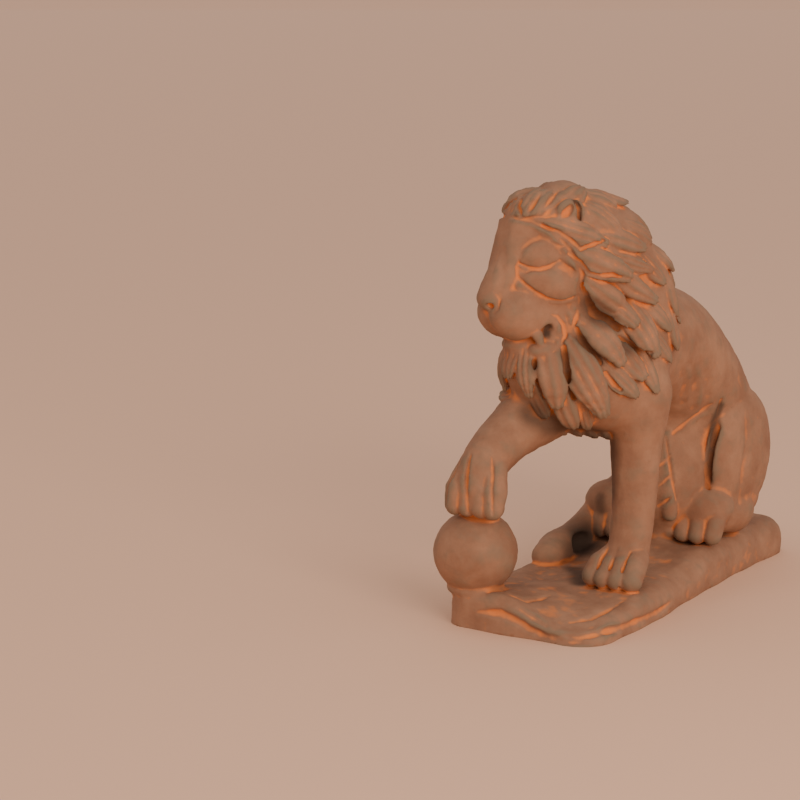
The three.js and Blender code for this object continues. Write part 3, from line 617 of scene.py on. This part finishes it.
# %% [markdown]
# ## The order of the locks
#
# Where two locks meet, the later one seems to lie on top, as in a real mane the front
# ones do. So the small rings come first, from the back to the front, and the large
# locks over them. A small lock is left out where a large one will lie.


# %% Lay a row of large locks
def large_locks(row, flatness):
    for i, (root, tip, width) in enumerate(row):
        for side in (1, -1):
            path = drawn_path(mirrored(root, side), mirrored(tip, side))
            if side > 0 or path[4][2] > mane_edge(path[4]) - 10:
                lift = (0.3 if root[2] < 595 else 0.13) * width
                lock(path, width, lift, flatness, 3 + i % 2)


print("large locks ready")


# %% Lay the rings of small locks
def small_locks(taken):
    """Rings of smaller locks over the crown, nape and shoulders, clear of the large ones."""
    random = scatter(4)
    laid = 0
    for ring in range(6, 0, -1):
        depth = np.interp(ring, [0, 1, 2, 3, 6], [58, 4, -42, -82, -172])
        lean = np.interp(ring, [0, 1, 2, 6], [78, 70, 44, 0])
        count = round(np.interp(ring, [0, 1, 2, 6], [17, 18, 18, 16]))
        length = np.interp(ring, [0, 1, 2, 6], [94, 74, 60, 40])
        width = np.interp(ring, [0, 1, 2, 6], [49, 44, 40, 32])
        lift = np.interp(ring, [0, 1, 2, 6], [16, 13, 11, 6])
        flatness = np.interp(ring, [0, 1, 6], [0.52, 0.44, 0.36])
        for i in range(count):
            angle = math.radians(-180 + 360 * (i + (ring % 2) / 2) / count)
            root = lock_root(depth, lean, angle)
            own_length = length * (1 + 0.08 * next(random))
            own_width = width * (1 + 0.06 * next(random))
            path = falling_path(root, own_length, 0.3 * next(random))
            gap = min(np.linalg.norm(path[4] - p) for p in taken)
            if path[4][2] > mane_edge(path[4]) and gap > 20:
                lock(path, own_width, lift, flatness, 2 + i % 2)
                laid += 1
    print("small locks laid", laid)


# %% Lay all the locks
def middles_of(row):
    out = []
    for root, tip, _ in row:
        for side in (1, -1):
            out += drawn_path(mirrored(root, side), mirrored(tip, side))[2:]
    return out


small_locks(middles_of(THIRD_ROW + SECOND_ROW + FACE_ROW))
large_locks(THIRD_ROW, 0.42)
large_locks(SECOND_ROW, 0.46)
large_locks(FACE_ROW, 0.5)
print("clay above the nose's root", round(clay.at(head(140, 0, 620)), 1))

# %% [markdown]
# ## Face
#
# The face is a smooth mask: a broad steep bridge, soft muzzle pads, a heavy closed lid
# over a full cheek and a blunt nose. It is added after the mane, so the hair stays
# behind it. The lines between its forms are scored into the finished surface, as a
# modelling tool does in wet clay, because a line laid on it follows every form it meets.


# %% Score lines into the clay
def score(points, radius, blend=1.5, sink=0.0):
    """Carves a fine line along the surface; sink pushes it deeper or, if negative, shallower."""
    stations = []
    last = len(points) - 1
    for i, p in enumerate(points):
        q = np.asarray(p, float)
        for _ in range(4):
            q = q - clay.normal(q) * np.clip(clay.at(q), -12, 12)
        q = q - clay.normal(q) * sink
        ends = 0.55 if last and i in (0, last) else 1
        stations.append(station(q, radius * ends))
    limb(stations, blend, carve=True)


def score_face(places, radius, blend=1.5, sink=0.0):
    for side in (1, -1):
        score([head(*mirrored(p, side)) for p in places], radius, blend, sink)


print("scoring tool ready")


# %% Model the masks
def masks():
    for side in (1, -1):
        bridge = [
            station(head(128, side * 13, 594), 25),
            station(head(145, side * 13, 545), 22),
            station(head(170, side * 8, 503), 18),
        ]
        limb(bridge, 12)
        egg(head(132, side * 17, 468), (54, 36, 42), 8, HEAD_AXES)
        egg(head(96, side * 30, 532), (42, 27, 54), 14, HEAD_AXES)
        egg(head(112, side * 34, 557), (37, 24, 24), 9, HEAD_AXES)
        cheek_axes = (turned(-73, side * 24, -14), turned(24, side * 73, 0), turned(-14, 0, 73))
        egg(head(96, side * 40, 513), (55, 29, 32), 3, cheek_axes)
        egg(head(144, side * 30, 510), (9, 8, 9), 5, HEAD_AXES)
    egg(head(180, 0, 490), (17, 23, 18), 6, HEAD_AXES)
    egg(head(108, 0, 418), (42, 33, 25), 8, HEAD_AXES)


masks()
print("nose reaches", round(clay.at(head(200, 0, 490)), 1), "mm short of 200")

# %% [markdown]
# ## Mouth
#
# The mouth is open a little, with one tooth, and its corner is a raised ring. The lips
# are added as eggs, a limb is carved along them for the opening, and the tooth is added
# last, so it stands in the gap.


# %% Open the mouth
def mouth():
    for side in (1, -1):
        egg(head(187, side * 15, 481), (7, 6, 5), 1.5, HEAD_AXES, carve=True)
        egg(head(108, side * 35, 457), (24, 16, 17), 6, HEAD_AXES)
        egg(head(106, side * 36, 413), (27, 21, 15), 4, HEAD_AXES)
        opening = [
            station(head(176, side * 3, 420), 3.5),
            station(head(149, side * 15, 423), 4),
            station(head(139, side * 25, 426), 4.5),
            station(head(126, side * 37, 431), 5.5),
            station(head(116, side * 44, 438), 7),
            station(head(108, side * 48, 445), 8),
        ]
        limb(opening, 2, carve=True)
        egg(head(90, side * 47, 445), (7, 8, 14), 2, HEAD_AXES)
        egg(head(123, side * 43, 437), (9, 6, 8), 1.5, HEAD_AXES)
        limb([station(head(121, side * 44, 433), 7), station(head(119, side * 46, 424), 6)], 1.5)
    ring = [(102, 47, 466), (92, 49, 463), (84, 53, 451)]
    ring += [(83, 57, 436), (92, 58, 422), (105, 59, 413)]
    score_face(ring, 3)


mouth()
print("mouth opened")

# %% [markdown]
# ## Lines of the face
#
# The eye is closed: its lid, the inner corner and the fold under the cheek are lines
# rather than forms, and a deeper one parts the mask from the mane. They are scored on
# both sides at once.


# %% Score the face
def lines():
    score_face([(150, 33, 548), (152, 32, 538), (151, 31, 526)], 3.4, 1.5, 0.8)
    brow = [(150, 34, 552), (147, 36, 564), (136, 41, 575), (124, 48, 580), (112, 57, 579)]
    score_face(brow, 4, 4, -1.6)
    score_face([(150, 33, 543), (135, 40, 536), (123, 48, 533), (111, 57, 539), (98, 62, 548)], 3.4)
    score_face([(150, 33, 536), (143, 37, 530), (132, 43, 531)], 3, 2, -0.8)
    cheek = [
        (150, 31, 523),
        (144, 41, 512),
        (129, 47, 501),
        (110, 51, 492),
        (90, 57, 487),
        (76, 64, 491),
        (66, 70, 502),
    ]
    score_face(cheek, 3.6)
    border = [
        (151, 10, 609),
        (143, 28, 607),
        (132, 40, 605),
        (121, 48, 599),
        (111, 58, 591),
        (98, 67, 577),
        (86, 68, 562),
        (78, 78, 545),
        (69, 78, 526),
        (61, 68, 504),
        (61, 63, 487),
        (64, 60, 469),
        (74, 60, 446),
    ]
    score_face(border, 4.5)
    score_face([(164, 14, 561), (175, 22, 526), (178, 25, 496)], 8, 8, -5)
    score_face([(184, 20, 502), (178, 27, 492), (180, 27, 478), (184, 22, 470)], 2.4)


lines()
print("face scored")

# %% [markdown]
# ## Ears
#
# The ears are small and lie back in the mane, each with a cup in front and a deep slot
# behind it. An egg makes the ear, and two carved limbs make cup and slot.


# %% Model the ears
def ears():
    for side in (1, -1):
        egg(head(76, side * 56, 617), (24, 9, 19), 8, HEAD_AXES)
        cup = [
            station(head(95, side * 62, 611), 4),
            station(head(87, side * 62, 616), 7),
            station(head(80, side * 62, 623), 5),
        ]
        limb(cup, 2, carve=True)
        slot = [
            station(head(71, side * 58, 633), 3.5),
            station(head(66, side * 59, 620), 6.5),
            station(head(66, side * 60, 605), 4),
        ]
        limb(slot, 2, carve=True)


ears()
print("ears modelled")

# %% [markdown]
# ## Gaps in the mane
#
# Between the large locks the mould is deep, and the material paints shade into it. Each gap is
# carved along the lower edge of a lock, wider and deeper in the middle.


# %% Carve the gaps
def gap(places, radius):
    for side in (1, -1):
        stations = []
        for i, place in enumerate(places):
            q = head(*mirrored(place, side))
            for _ in range(4):
                q = q - clay.normal(q) * np.clip(clay.at(q), -12, 12)
            swell = math.sin(math.pi * (i + 0.6) / (len(places) + 0.2))
            stations.append(station(q - clay.normal(q) * 2, radius * (0.35 + 0.65 * swell)))
        limb(stations, 2, carve=True)


gap([(61, 72, 510), (54, 71, 491), (38, 69, 473), (16, 67, 455), (0, 68, 441)], 9)
gap([(73, 66, 444), (65, 75, 427), (53, 82, 412), (42, 86, 396)], 8)
gap([(91, 63, 420), (94, 79, 385), (75, 70, 344)], 7)
gap([(128, 42, 397), (122, 43, 363), (108, 42, 342)], 6)
gap([(0, 78, 430), (-26, 84, 410), (-42, 96, 405)], 6)
gap([(35, 94, 381), (22, 97, 361), (12, 98, 354)], 5)
gap([(88, 68, 557), (77, 82, 546), (66, 88, 529), (50, 94, 524), (29, 98, 526), (14, 97, 522)], 4.5)
gap([(121, 48, 599), (104, 62, 590), (88, 74, 577), (72, 77, 564), (57, 84, 570), (37, 88, 577)], 4)
score_face([(144, 26, 613), (140, 15, 626), (134, 6, 638)], 5, 1.5, 1)
score_face([(136, 35, 619), (131, 35, 626), (121, 33, 637), (108, 25, 648)], 5, 2, 0.5)
score_face([(115, 45, 622), (98, 37, 635), (76, 22, 647)], 4, 2)
score_face([(143, 28, 607), (132, 41, 609), (114, 49, 611), (98, 56, 613)], 3)
print("gaps carved")

# %% [markdown]
# ## Tail
#
# The tail runs forward from the rump, stands up as an arch over the right hind paw and
# comes down in a thick tuft that lies along the slab. A limb along a smooth curve gives it
# an even round taper.


# %% Lay the tail
def tail():
    course = [
        (-30, 262, 78, 25),
        (-82, 262, 88, 26),
        (-101, 225, 110, 23),
        (-106, 170, 127, 18),
        (-106, 110, 116, 17),
        (-106, 50, 91, 18),
        (-106, -10, 69, 22),
        (-104, -62, 62, 26),
        (-98, -104, 56, 24),
    ]
    limb(smooth(course, 3), 4)
    tuft = [(-108, 120, 66, 24), (-110, 50, 62, 25), (-108, -20, 60, 26), (-100, -70, 58, 26)]
    limb(tuft, 5)
    egg((-82, -22, 64), (18, 36, 16), 4, carve=True)


tail()
print("tail laid")

# %% [markdown]
# ## Coat
#
# Most of the coat is smooth. What draws it are a few firm lines: the edge of the haunch,
# the fold down its back, the flank's crease and the ribs. The belly has a short column
# of hair tufts that shows between the leg and the haunch.


# %% Score the coat
def coat():
    score([(112, 174, 262), (116, 168, 212), (116, 158, 160), (110, 160, 118)], 9, 8, -5)
    score([(95, 116, 292), (90, 107, 250), (84, 101, 213), (82, 101, 180), (82, 101, 150)], 6, 3, 2)
    score([(30, 52, 236), (44, 71, 250), (64, 83, 267), (81, 101, 289)], 4, 3, 0.5)
    score([(112, -104, 345), (110, -98, 318), (106, -94, 290), (101, -94, 258)], 5, 4, -1)
    for y in (-30, 0, 30):
        score([(98, y, 366), (92, y + 40, 326), (70, y + 66, 282)], 9, 9, -7)
    limb([(26, 56, 238, 9), (32, 50, 190, 13), (37, 47, 140, 14), (40, 50, 112, 12)], 6)
    score([(34, 42, 240), (39, 41, 209), (46, 42, 170), (53, 48, 136)], 3.4)
    for z in (198, 166, 132):
        score([(24, 38, z - 8), (34, 38, z), (44, 40, z + 10)], 4, 2, -0.5)


coat()
print("coat scored")

# %% [markdown]
# ## Paws and chest
#
# The gaps between the toes run up over the knuckles as lines, as a carver's gouge leaves
# them. Under the chest hang a few short curls, which are small grooved limbs.


# %% Score the paws
def paws():
    for x in (43, 63, 84):
        score([(x, -172, 104), (x, -192, 86), (x, -208, 52)], 3.6, 1.5)
    score([(-92, -346, 262), (-93, -354, 247), (-89, -364, 212), (-87, -364, 176)], 4.4, 1.5)
    score([(-60, -338, 260), (-57, -342, 247), (-48, -359, 215), (-44, -362, 180)], 3.8, 1.5)
    score([(-118, -344, 250), (-122, -356, 212), (-122, -356, 180)], 3.8, 1.5)


paws()
print("paws scored")


# %% Curl the hair under the chest
def chest():
    """Short curls under the chest, between the forelegs."""
    for i, x in enumerate((-26, -8, 10, 28)):
        y = -206 + 16 * i
        z = 289 - 3 * i
        curl = [(x, y - 8, z + 19, 13), (x + 2, y, z, 12), (x + 7, y + 10, z - 10, 7)]
        limb(curl, 2, [np.array([0.5, -0.8, -0.3])] * 3, 0.8, 2, 2.0)


chest()
print("chest curled")

# %% [markdown]
# ## Worn rock of the base
#
# Along the front and the left side the slab shows layers, as weathered rock does. They
# are scored as long soft lines on the finished slab; a noise would give no layers.


# %% Score the base
def strata():
    """Lines of worn rock around the front of the base."""
    score([(-62, -347, 55), (-50, -320, 54), (-56, -290, 52)], 3, 2, -1)
    ledge = [
        (-71, -357, 28),
        (-34, -356, 32),
        (-8, -357, 26),
        (18, -356, 15),
        (43, -356, 8),
        (76, -356, 7),
        (108, -340, 7),
    ]
    score(ledge, 7, 3, -2)
    score([(-8, -347, 40), (17, -349, 31), (41, -351, 23)], 6, 3, -1.5)
    score([(-40, -331, 50), (-11, -322, 43), (-3, -292, 42), (1, -269, 43)], 6, 3, -2)
    score([(64, -320, 25), (84, -295, 29), (93, -266, 34), (101, -229, 42)], 6, 3, -1.5)
    rim = [(66, -353, 14), (93, -343, 13), (114, -321, 18), (125, -274, 15), (126, -218, 14)]
    score(rim + [(122, -161, 12), (121, -114, 17)], 6, 3, -2)


strata()
print("base scored")

# %% [markdown]
# ## Skin
#
# OpenVDB draws quads where the clay's distance is nothing. bmesh then does the bench
# work: it throws out the bubbles left between lock and mane, slices the underside flat
# with a plane and closes it, and turns the faces outwards.


# %% Draw the skin
def cast_skin():
    grid = openvdb.FloatGrid()
    grid.background = 60.0
    grid.copyFromArray(clay.values)
    grid.transform = openvdb.createLinearTransform(voxelSize=GRAIN)
    points, quads = grid.convertToQuads(0.0)
    mesh = bpy.data.meshes.new("lion")
    mesh.from_pydata((points + LOW).tolist(), [], quads.tolist())
    return mesh


mesh = cast_skin()
print("quads", len(mesh.polygons))


# %% Throw out the bubbles
def islands(bm):
    """Faces in connected groups, largest first."""
    groups = []
    seen = set()
    for start in bm.faces:
        if start in seen:
            continue
        group = [start]
        seen.add(start)
        for at in group:
            for edge in at.edges:
                for other in edge.link_faces:
                    if other not in seen:
                        seen.add(other)
                        group.append(other)
        groups.append(group)
    return sorted(groups, key=len, reverse=True)


bm = bmesh.new()
bm.from_mesh(mesh)
bubbles = [f for group in islands(bm)[1:] for f in group]
bmesh.ops.delete(bm, geom=bubbles, context="FACES")
loose = [v for v in bm.verts if not v.link_faces]
bmesh.ops.delete(bm, geom=loose, context="VERTS")
print("bubble faces", len(bubbles))

# %% Cut the underside flat and close it
below = bm.verts[:] + bm.edges[:] + bm.faces[:]
bmesh.ops.bisect_plane(bm, geom=below, plane_co=(0, 0, 0), plane_no=(0, 0, 1), clear_inner=True)
rim = [e for e in bm.edges if e.is_boundary]
bmesh.ops.holes_fill(bm, edges=rim)
bmesh.ops.triangulate(bm, faces=[f for f in bm.faces if len(f.verts) > 4])
bmesh.ops.recalc_face_normals(bm, faces=bm.faces[:])
print("faces", len(bm.faces), "rim edges", len(rim))

# %% [markdown]
# ## Surface of the casting
#
# A concrete casting is never glassy: the sand and the worn mould leave low lumps and
# small pits. Real geometry carries the ones wider than a few millimetres, moved along
# the normal by a noise of that size; the finer sand is left to the material.


# %% Roughen the surface
def roughen(bm):
    bm.normal_update()
    moves = []
    for v in bm.verts:
        p = v.co
        lumps = noise.noise(p / 26) * 0.9 + noise.noise(p / 9) * 0.5
        rock = max(0.0, min(1.0, (62 - p.z) / 14))
        chips = abs(noise.noise(p / 22 + Vector((7, 3, 1)))) * 1.3
        moves.append(lumps - rock * chips)
    for v, move in zip(bm.verts, moves):
        if v.co.z > 0.5:
            v.co += v.normal * move
            v.co.z = max(v.co.z, 0.0)


roughen(bm)
bmesh.ops.scale(bm, vec=(0.001, 0.001, 0.001), verts=bm.verts)
bm.to_mesh(mesh)
bm.free()
print("vertices", len(mesh.vertices))

# %% [markdown]
# ## The piece
#
# The skin has more faces than it needs on its plain parts. Decimate joins them where
# the surface is nearly flat and keeps them in the hair and the face. Then the skin is kept
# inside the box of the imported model, so the part still fits where it is placed.

# %% Make the piece and thin it
MOST_TRIANGLES = 190_000
lion = bpy.data.objects.new("lion_cast", mesh)
bpy.context.scene.collection.objects.link(lion)
triangles = sum(len(f.vertices) - 2 for f in mesh.polygons)
thin = lion.modifiers.new("thin", "DECIMATE")
thin.ratio = min(1, MOST_TRIANGLES / triangles)
bpy.context.view_layer.update()
thinned = bpy.data.meshes.new_from_object(lion.evaluated_get(bpy.context.evaluated_depsgraph_get()))
lion.modifiers.clear()
for v in thinned.vertices:
    v.co = [min(max(c, low), high) for c, low, high in zip(v.co, *cad_box)]
lion.data = thinned
lion.data.name = "lion_cast"
lion.data.shade_smooth()
print("triangles", triangles, "thinned to", len(thinned.polygons))

# %% [markdown]
# ## Where the stain stays and where shade is painted
#
# The rust stain was rubbed off the high places and stayed in the low ones. How deep a
# point lies is read from the clay: the share of solid in a small ball around it is a
# half on a plain, more in a valley and less on a ridge. Two ball sizes tell a fine
# groove from a broad hollow, and both are stored on the mesh for the material: the fine
# one places the rust and the rubbed grey, and the broad hollow is painted dark as shade.
# Vertex paint by hand would do it too, but it would be lost with each change of shape.


# %% Store values on the vertices
def vertex_places():
    """Where the vertices are, in millimetres."""
    points = np.empty(len(lion.data.vertices) * 3, np.float32)
    lion.data.vertices.foreach_get("co", points)
    return points.reshape(-1, 3) * 1000


def store(name, values):
    layer = lion.data.attributes.new(name, "FLOAT", "POINT")
    layer.data.foreach_set("value", values.astype(np.float32))
    print(name, "from", round(float(values.min()), 2), "to", round(float(values.max()), 2))


# %% Measure the recesses
def share_of_solid(width):
    """Solid share in a soft ball, by averaging the clay along each axis twice."""
    solid = np.clip(0.5 - clay.values / GRAIN, 0, 1).astype(np.float32)
    cells = max(1, round(width / GRAIN))
    for axis in (0, 1, 2, 0, 1, 2):
        sums = np.cumsum(solid, axis=axis, dtype=np.float32)
        here = np.arange(sums.shape[axis])
        ahead = np.take(sums, np.clip(here + cells, 0, here[-1]), axis)
        behind = np.take(sums, np.clip(here - cells - 1, 0, None), axis)
        solid = (ahead - behind) / (2 * cells + 1)
    return solid


def store_recess(name, width):
    share = share_of_solid(width)
    q = (vertex_places() - LOW) / GRAIN
    o = np.clip(q.astype(int), 0, np.array(share.shape) - 2)
    t = q - o
    value = 0
    for i in (0, 1):
        for j in (0, 1):
            for k in (0, 1):
                weight = abs(1 - i - t[:, 0]) * abs(1 - j - t[:, 1]) * abs(1 - k - t[:, 2])
                value = value + weight * share[o[:, 0] + i, o[:, 1] + j, o[:, 2] + k]
    store(name, value)


store_recess("groove", 5)
store_recess("hollow", 16)

# %% [markdown]
# ## Places of painted shade
#
# A few places are painted dark as shade, where the figure shadows itself: under the mane,
# in the mouth and the ears, behind the leg, in front of the haunch and in the hollow of the
# tail. No measure of depth finds them all, so they are listed as short courses with a
# radius and a strength.

# %% List the places of painted shade
SHADE_COURSES = [
    ([(-88, 0, 60), (-86, -20, 60)], 40, 1.0),
    ([(-70, -70, 60)], 26, 0.5),
    ([(-45, -112, 46), (-20, -140, 46), (5, -185, 46)], 18, 0.75),
    ([(-36, -262, 316), (-18, -232, 298), (17, -190, 282), (27, -160, 270)], 26, 0.75),
    ([(36, -150, 262), (34, -150, 225), (34, -148, 185)], 22, 0.6),
    ([(90, 118, 282), (82, 115, 252), (82, 113, 231), (83, 108, 205), (82, 106, 165)], 10, 0.8),
    ([(-77, 32, 128), (-74, 30, 108)], 11, 0.6),
]
SHADE_COURSES_HEAD = [
    ([(47, 70, 480), (25, 72, 455)], 22, 0.7),
    ([(58, 69, 426), (45, 78, 404)], 19, 0.7),
    ([(88, 63, 405), (84, 72, 380)], 13, 0.7),
    ([(125, 39, 390)], 14, 0.7),
    ([(-7, 85, 416)], 18, 0.7),
    ([(104, 43, 449), (106, 40, 446), (107, 42, 438)], 9, 0.95),
    ([(71, 58, 631), (66, 59, 619), (66, 60, 606)], 7, 0.9),
]
for course, radius, strength in SHADE_COURSES_HEAD:
    for side in (1, -1):
        SHADE_COURSES.append(([head(*mirrored(p, side)) for p in course], radius, strength))
print("sheltered places", len(SHADE_COURSES))


# %% Mark them on the mesh
def store_painted_shade():
    """A soft strip of painted shade along each listed course; the darkest strip wins."""
    points = vertex_places()
    dark = np.zeros(len(points), np.float32)
    for course, radius, strength in SHADE_COURSES:
        knots = np.array(course + course[-1:], float)
        distance = np.inf
        for a, b in zip(knots[:-1], knots[1:]):
            run = b - a
            t = np.clip((points - a) @ run / max(run @ run, 1), 0, 1)
            distance = np.minimum(distance, np.linalg.norm(points - a - t[:, None] * run, axis=1))
        near = np.clip(1.3 - distance / radius, 0, 1)
        dark = np.maximum(dark, strength * near * near * (3 - 2 * near))
    store("painted_shade", dark)


store_painted_shade()

# %% [markdown]
# ## Cast concrete with an antique stain
#
# The real material is portland cement concrete, cast in a mould, washed with a brown
# stain and rubbed while wet. It is matt: light scatters in its pores, so roughness is
# high and the gloss weak. The brown varies in cloudy patches a hand wide, the rubbed
# high places are greyer, the grooves hold orange rust, and sand grain about 1 mm wide
# roughens it; the grain is drawn at 2 mm, because 1 mm doesn't show in the picture.


# %% Turn colours and add nodes
def colour(code):
    """An sRGB hex colour as linear values."""
    parts = [int(code[i : i + 2], 16) / 255 for i in (1, 3, 5)]
    return [*(c / 12.92 if c <= 0.04045 else ((c + 0.055) / 1.055) ** 2.4 for c in parts), 1]


def node(tree, kind, settings=None, **links):
    """Adds a node; links give an input's name a value or another node's output."""
    made = tree.nodes.new(kind)
    for name, value in (settings or {}).items():
        setattr(made, name, value)
    for name, value in links.items():
        names = {s.identifier: s for s in made.inputs}
        socket = names.get(name) or made.inputs[name.replace("_", " ")]
        if isinstance(value, bpy.types.NodeSocket):
            tree.links.new(value, socket)
        else:
            socket.default_value = value
    return made


print("white is", colour("#ffffff"))

# %% Start the material
concrete = bpy.data.materials.new("antique stained concrete")
concrete.use_nodes = True
tree = concrete.node_tree
shader = tree.nodes["Principled BSDF"]
where = node(tree, "ShaderNodeTexCoord").outputs["Object"]
groove = node(tree, "ShaderNodeAttribute", {"attribute_name": "groove"}).outputs["Fac"]
hollow = node(tree, "ShaderNodeAttribute", {"attribute_name": "hollow"}).outputs["Fac"]
painted_shade = node(tree, "ShaderNodeAttribute", {"attribute_name": "painted_shade"}).outputs["Fac"]
print("stored values read: groove, hollow, sheltered")

# %% Scatter clouds, patches, grain and pits
CLOUD_WIDTH = 0.055
PATCH_WIDTH = 0.018
PIT_SPACING = 0.009
GRAIN_WIDTH = 0.002
cloud = node(
    tree, "ShaderNodeTexNoise", Vector=where, Scale=1 / CLOUD_WIDTH, Detail=4.0, Roughness=0.6
)
patch = node(
    tree, "ShaderNodeTexNoise", Vector=where, Scale=1 / PATCH_WIDTH, Detail=5.0, Roughness=0.65
)
grain = node(
    tree, "ShaderNodeTexNoise", Vector=where, Scale=1 / GRAIN_WIDTH, Detail=2.0, Roughness=0.6
)
pits = node(tree, "ShaderNodeTexVoronoi", Vector=where, Scale=1 / PIT_SPACING)
print("widths in metres", CLOUD_WIDTH, PATCH_WIDTH, PIT_SPACING, GRAIN_WIDTH)

# %% Lay the brown stain
spread = node(
    tree, "ShaderNodeMapRange", Value=cloud.outputs["Fac"], From_Min=0.35, From_Max=0.68
)
brown = node(
    tree,
    "ShaderNodeMix",
    {"data_type": "RGBA"},
    Factor_Float=spread.outputs["Result"],
    A_Color=colour("#89634d"),
    B_Color=colour("#9f775e"),
)
print("brown laid")

# %% Rub the high places grey
ridge = node(tree, "ShaderNodeMapRange", Value=groove, From_Min=0.50, From_Max=0.36)
rubbed = node(
    tree,
    "ShaderNodeMath",
    {"operation": "MULTIPLY_ADD"},
    Value=patch.outputs["Fac"],
    Value_001=0.9,
    Value_002=ridge.outputs["Result"],
)
worn = node(
    tree, "ShaderNodeMapRange", Value=rubbed.outputs["Value"], From_Min=0.60, From_Max=1.45
)
grey = node(
    tree,
    "ShaderNodeMix",
    {"data_type": "RGBA"},
    Factor_Float=worn.outputs["Result"],
    A_Color=brown.outputs["Result"],
    B_Color=colour("#7f6a57"),
)
print("high places rubbed")

# %% Leave rust in the grooves
deep = node(
    tree,
    "ShaderNodeMath",
    {"operation": "MULTIPLY_ADD"},
    Value=patch.outputs["Fac"],
    Value_001=0.12,
    Value_002=groove,
)
rust_mask = node(
    tree, "ShaderNodeMapRange", Value=deep.outputs["Value"], From_Min=0.60, From_Max=0.72
)
rust = node(
    tree,
    "ShaderNodeMix",
    {"data_type": "RGBA"},
    Factor_Float=rust_mask.outputs["Result"],
    A_Color=grey.outputs["Result"],
    B_Color=colour("#d67f46"),
)
print("grooves rusted")

# %% Paint shade into the hollows and the shaded places
# The dark colour is painted shade: it stands in for the shadow in deep hollows, such as the gaps of
# the mane, and in the places listed as painted shade.
hollow_shade = node(
    tree, "ShaderNodeMapRange", Value=hollow, From_Min=0.64, From_Max=0.80, To_Max=0.85
)
shade_mask = node(
    tree,
    "ShaderNodeMath",
    {"operation": "MAXIMUM"},
    Value=hollow_shade.outputs["Result"],
    Value_001=painted_shade,
)
stained_and_shaded = node(
    tree,
    "ShaderNodeMix",
    {"data_type": "RGBA"},
    Factor_Float=shade_mask.outputs["Value"],
    A_Color=rust.outputs["Result"],
    B_Color=colour("#43352c"),
)
print("hollows darkened")

# %% Roughen it with sand and pits
sand = node(
    tree, "ShaderNodeBump", Height=grain.outputs["Fac"], Strength=0.35, Distance=0.0008
)
skin = node(
    tree,
    "ShaderNodeBump",
    Height=patch.outputs["Fac"],
    Normal=sand.outputs["Normal"],
    Strength=0.5,
    Distance=0.002,
)
dents = node(
    tree,
    "ShaderNodeBump",
    Height=pits.outputs["Distance"],
    Normal=skin.outputs["Normal"],
    Strength=0.2,
    Distance=0.001,
)
tree.links.new(stained_and_shaded.outputs["Result"], shader.inputs["Base Color"])
tree.links.new(dents.outputs["Normal"], shader.inputs["Normal"])
shader.inputs["Roughness"].default_value = 0.9
shader.inputs["Specular IOR Level"].default_value = 0.3
print("bumps added")

# %% Give the lion its material and its place in the part
lion.data.materials.clear()
lion.data.materials.append(concrete)
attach(lion, "root")
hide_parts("lion")
print("material", lion.data.materials[0].name)

# %% [markdown]
# ## Studio
#
# The figure stands on a plain pale floor of seamless paper. A curved backdrop would have
# to follow the camera, so the floor is a wide disc instead, which rises a little at its
# far rim, and the picture shows no edge.

# %% Lay the floor
FLOOR_RADIUS = 400
RIM_HEIGHT = 12


def floor():
    bm = bmesh.new()
    bmesh.ops.create_circle(bm, cap_ends=True, segments=96, radius=FLOOR_RADIUS)
    rim = bmesh.ops.extrude_edge_only(bm, edges=[e for e in bm.edges if e.is_boundary])
    raised = [v for v in rim["geom"] if isinstance(v, bmesh.types.BMVert)]
    bmesh.ops.scale(bm, vec=(1.3, 1.3, 1), verts=raised)
    bmesh.ops.translate(bm, vec=(0, 0, RIM_HEIGHT), verts=raised)
    bmesh.ops.recalc_face_normals(bm, faces=bm.faces[:])
    mesh = bpy.data.meshes.new("floor")
    bm.to_mesh(mesh)
    bm.free()
    made = bpy.data.objects.new("floor", mesh)
    bpy.context.scene.collection.objects.link(made)
    paper = bpy.data.materials.new("seamless paper")
    paper.use_nodes = True
    shader = paper.node_tree.nodes["Principled BSDF"]
    shader.inputs["Base Color"].default_value = colour("#e7bb9e")
    shader.inputs["Roughness"].default_value = 0.95
    mesh.materials.append(paper)


floor()
print("floor radius", FLOOR_RADIUS, "m")

# %% [markdown]
# ## Lights
#
# One big soft light from the right front shapes the figure, a weak one from the left
# keeps the face from going black, and an even surrounding light fills the shadows. Area
# lights are used, because their size makes the soft edges that the photograph shows.


# %% Set the lights
def soft_light(name, place, target, size, power, tint):
    data = bpy.data.lights.new(name, "AREA")
    data.size = size
    data.energy = power
    data.color = colour(tint)[:3]
    lamp = bpy.data.objects.new(name, data)
    lamp.location = place
    lamp.rotation_euler = (Vector(target) - Vector(place)).to_track_quat("-Z", "Y").to_euler()
    bpy.context.scene.collection.objects.link(lamp)


soft_light("key", (3.35, -2.43, 1.6), (0, 0, 0.3), 2.2, 116, "#ffe9d6")
soft_light("fill", (-2.6, -1.8, 1.8), (0, 0, 0.3), 2.0, 5, "#fff0e6")
world = bpy.data.worlds.new("studio")
world.use_nodes = True
world.node_tree.nodes["Background"].inputs["Color"].default_value = colour("#ede1d9")
world.node_tree.nodes["Background"].inputs["Strength"].default_value = 0.92
bpy.context.scene.world = world
print("lights", len(bpy.data.lights))

# %% [markdown]
# ## Camera
#
# The camera stands where the photograph was taken from: about 33 degrees round to the
# lion's left, looking 10 degrees down, with a long lens that keeps the base from
# spreading.

# %% Stand the camera at the photograph's viewing angle
AZIMUTH = math.radians(33.3)
PITCH = math.radians(10.2)
view = Vector(
    (
        -math.sin(AZIMUTH) * math.cos(PITCH),
        math.cos(AZIMUTH) * math.cos(PITCH),
        -math.sin(PITCH),
    )
)
lens = bpy.data.cameras.new("camera")
lens.lens = 99
lens.sensor_width = 36
camera = bpy.data.objects.new("camera", lens)
camera.location = (1.562, -3.0531, 0.914)
camera.rotation_euler = view.to_track_quat("-Z", "Y").to_euler()
bpy.context.scene.collection.objects.link(camera)
bpy.context.scene.camera = camera
print("camera looks along", [round(v, 3) for v in view])
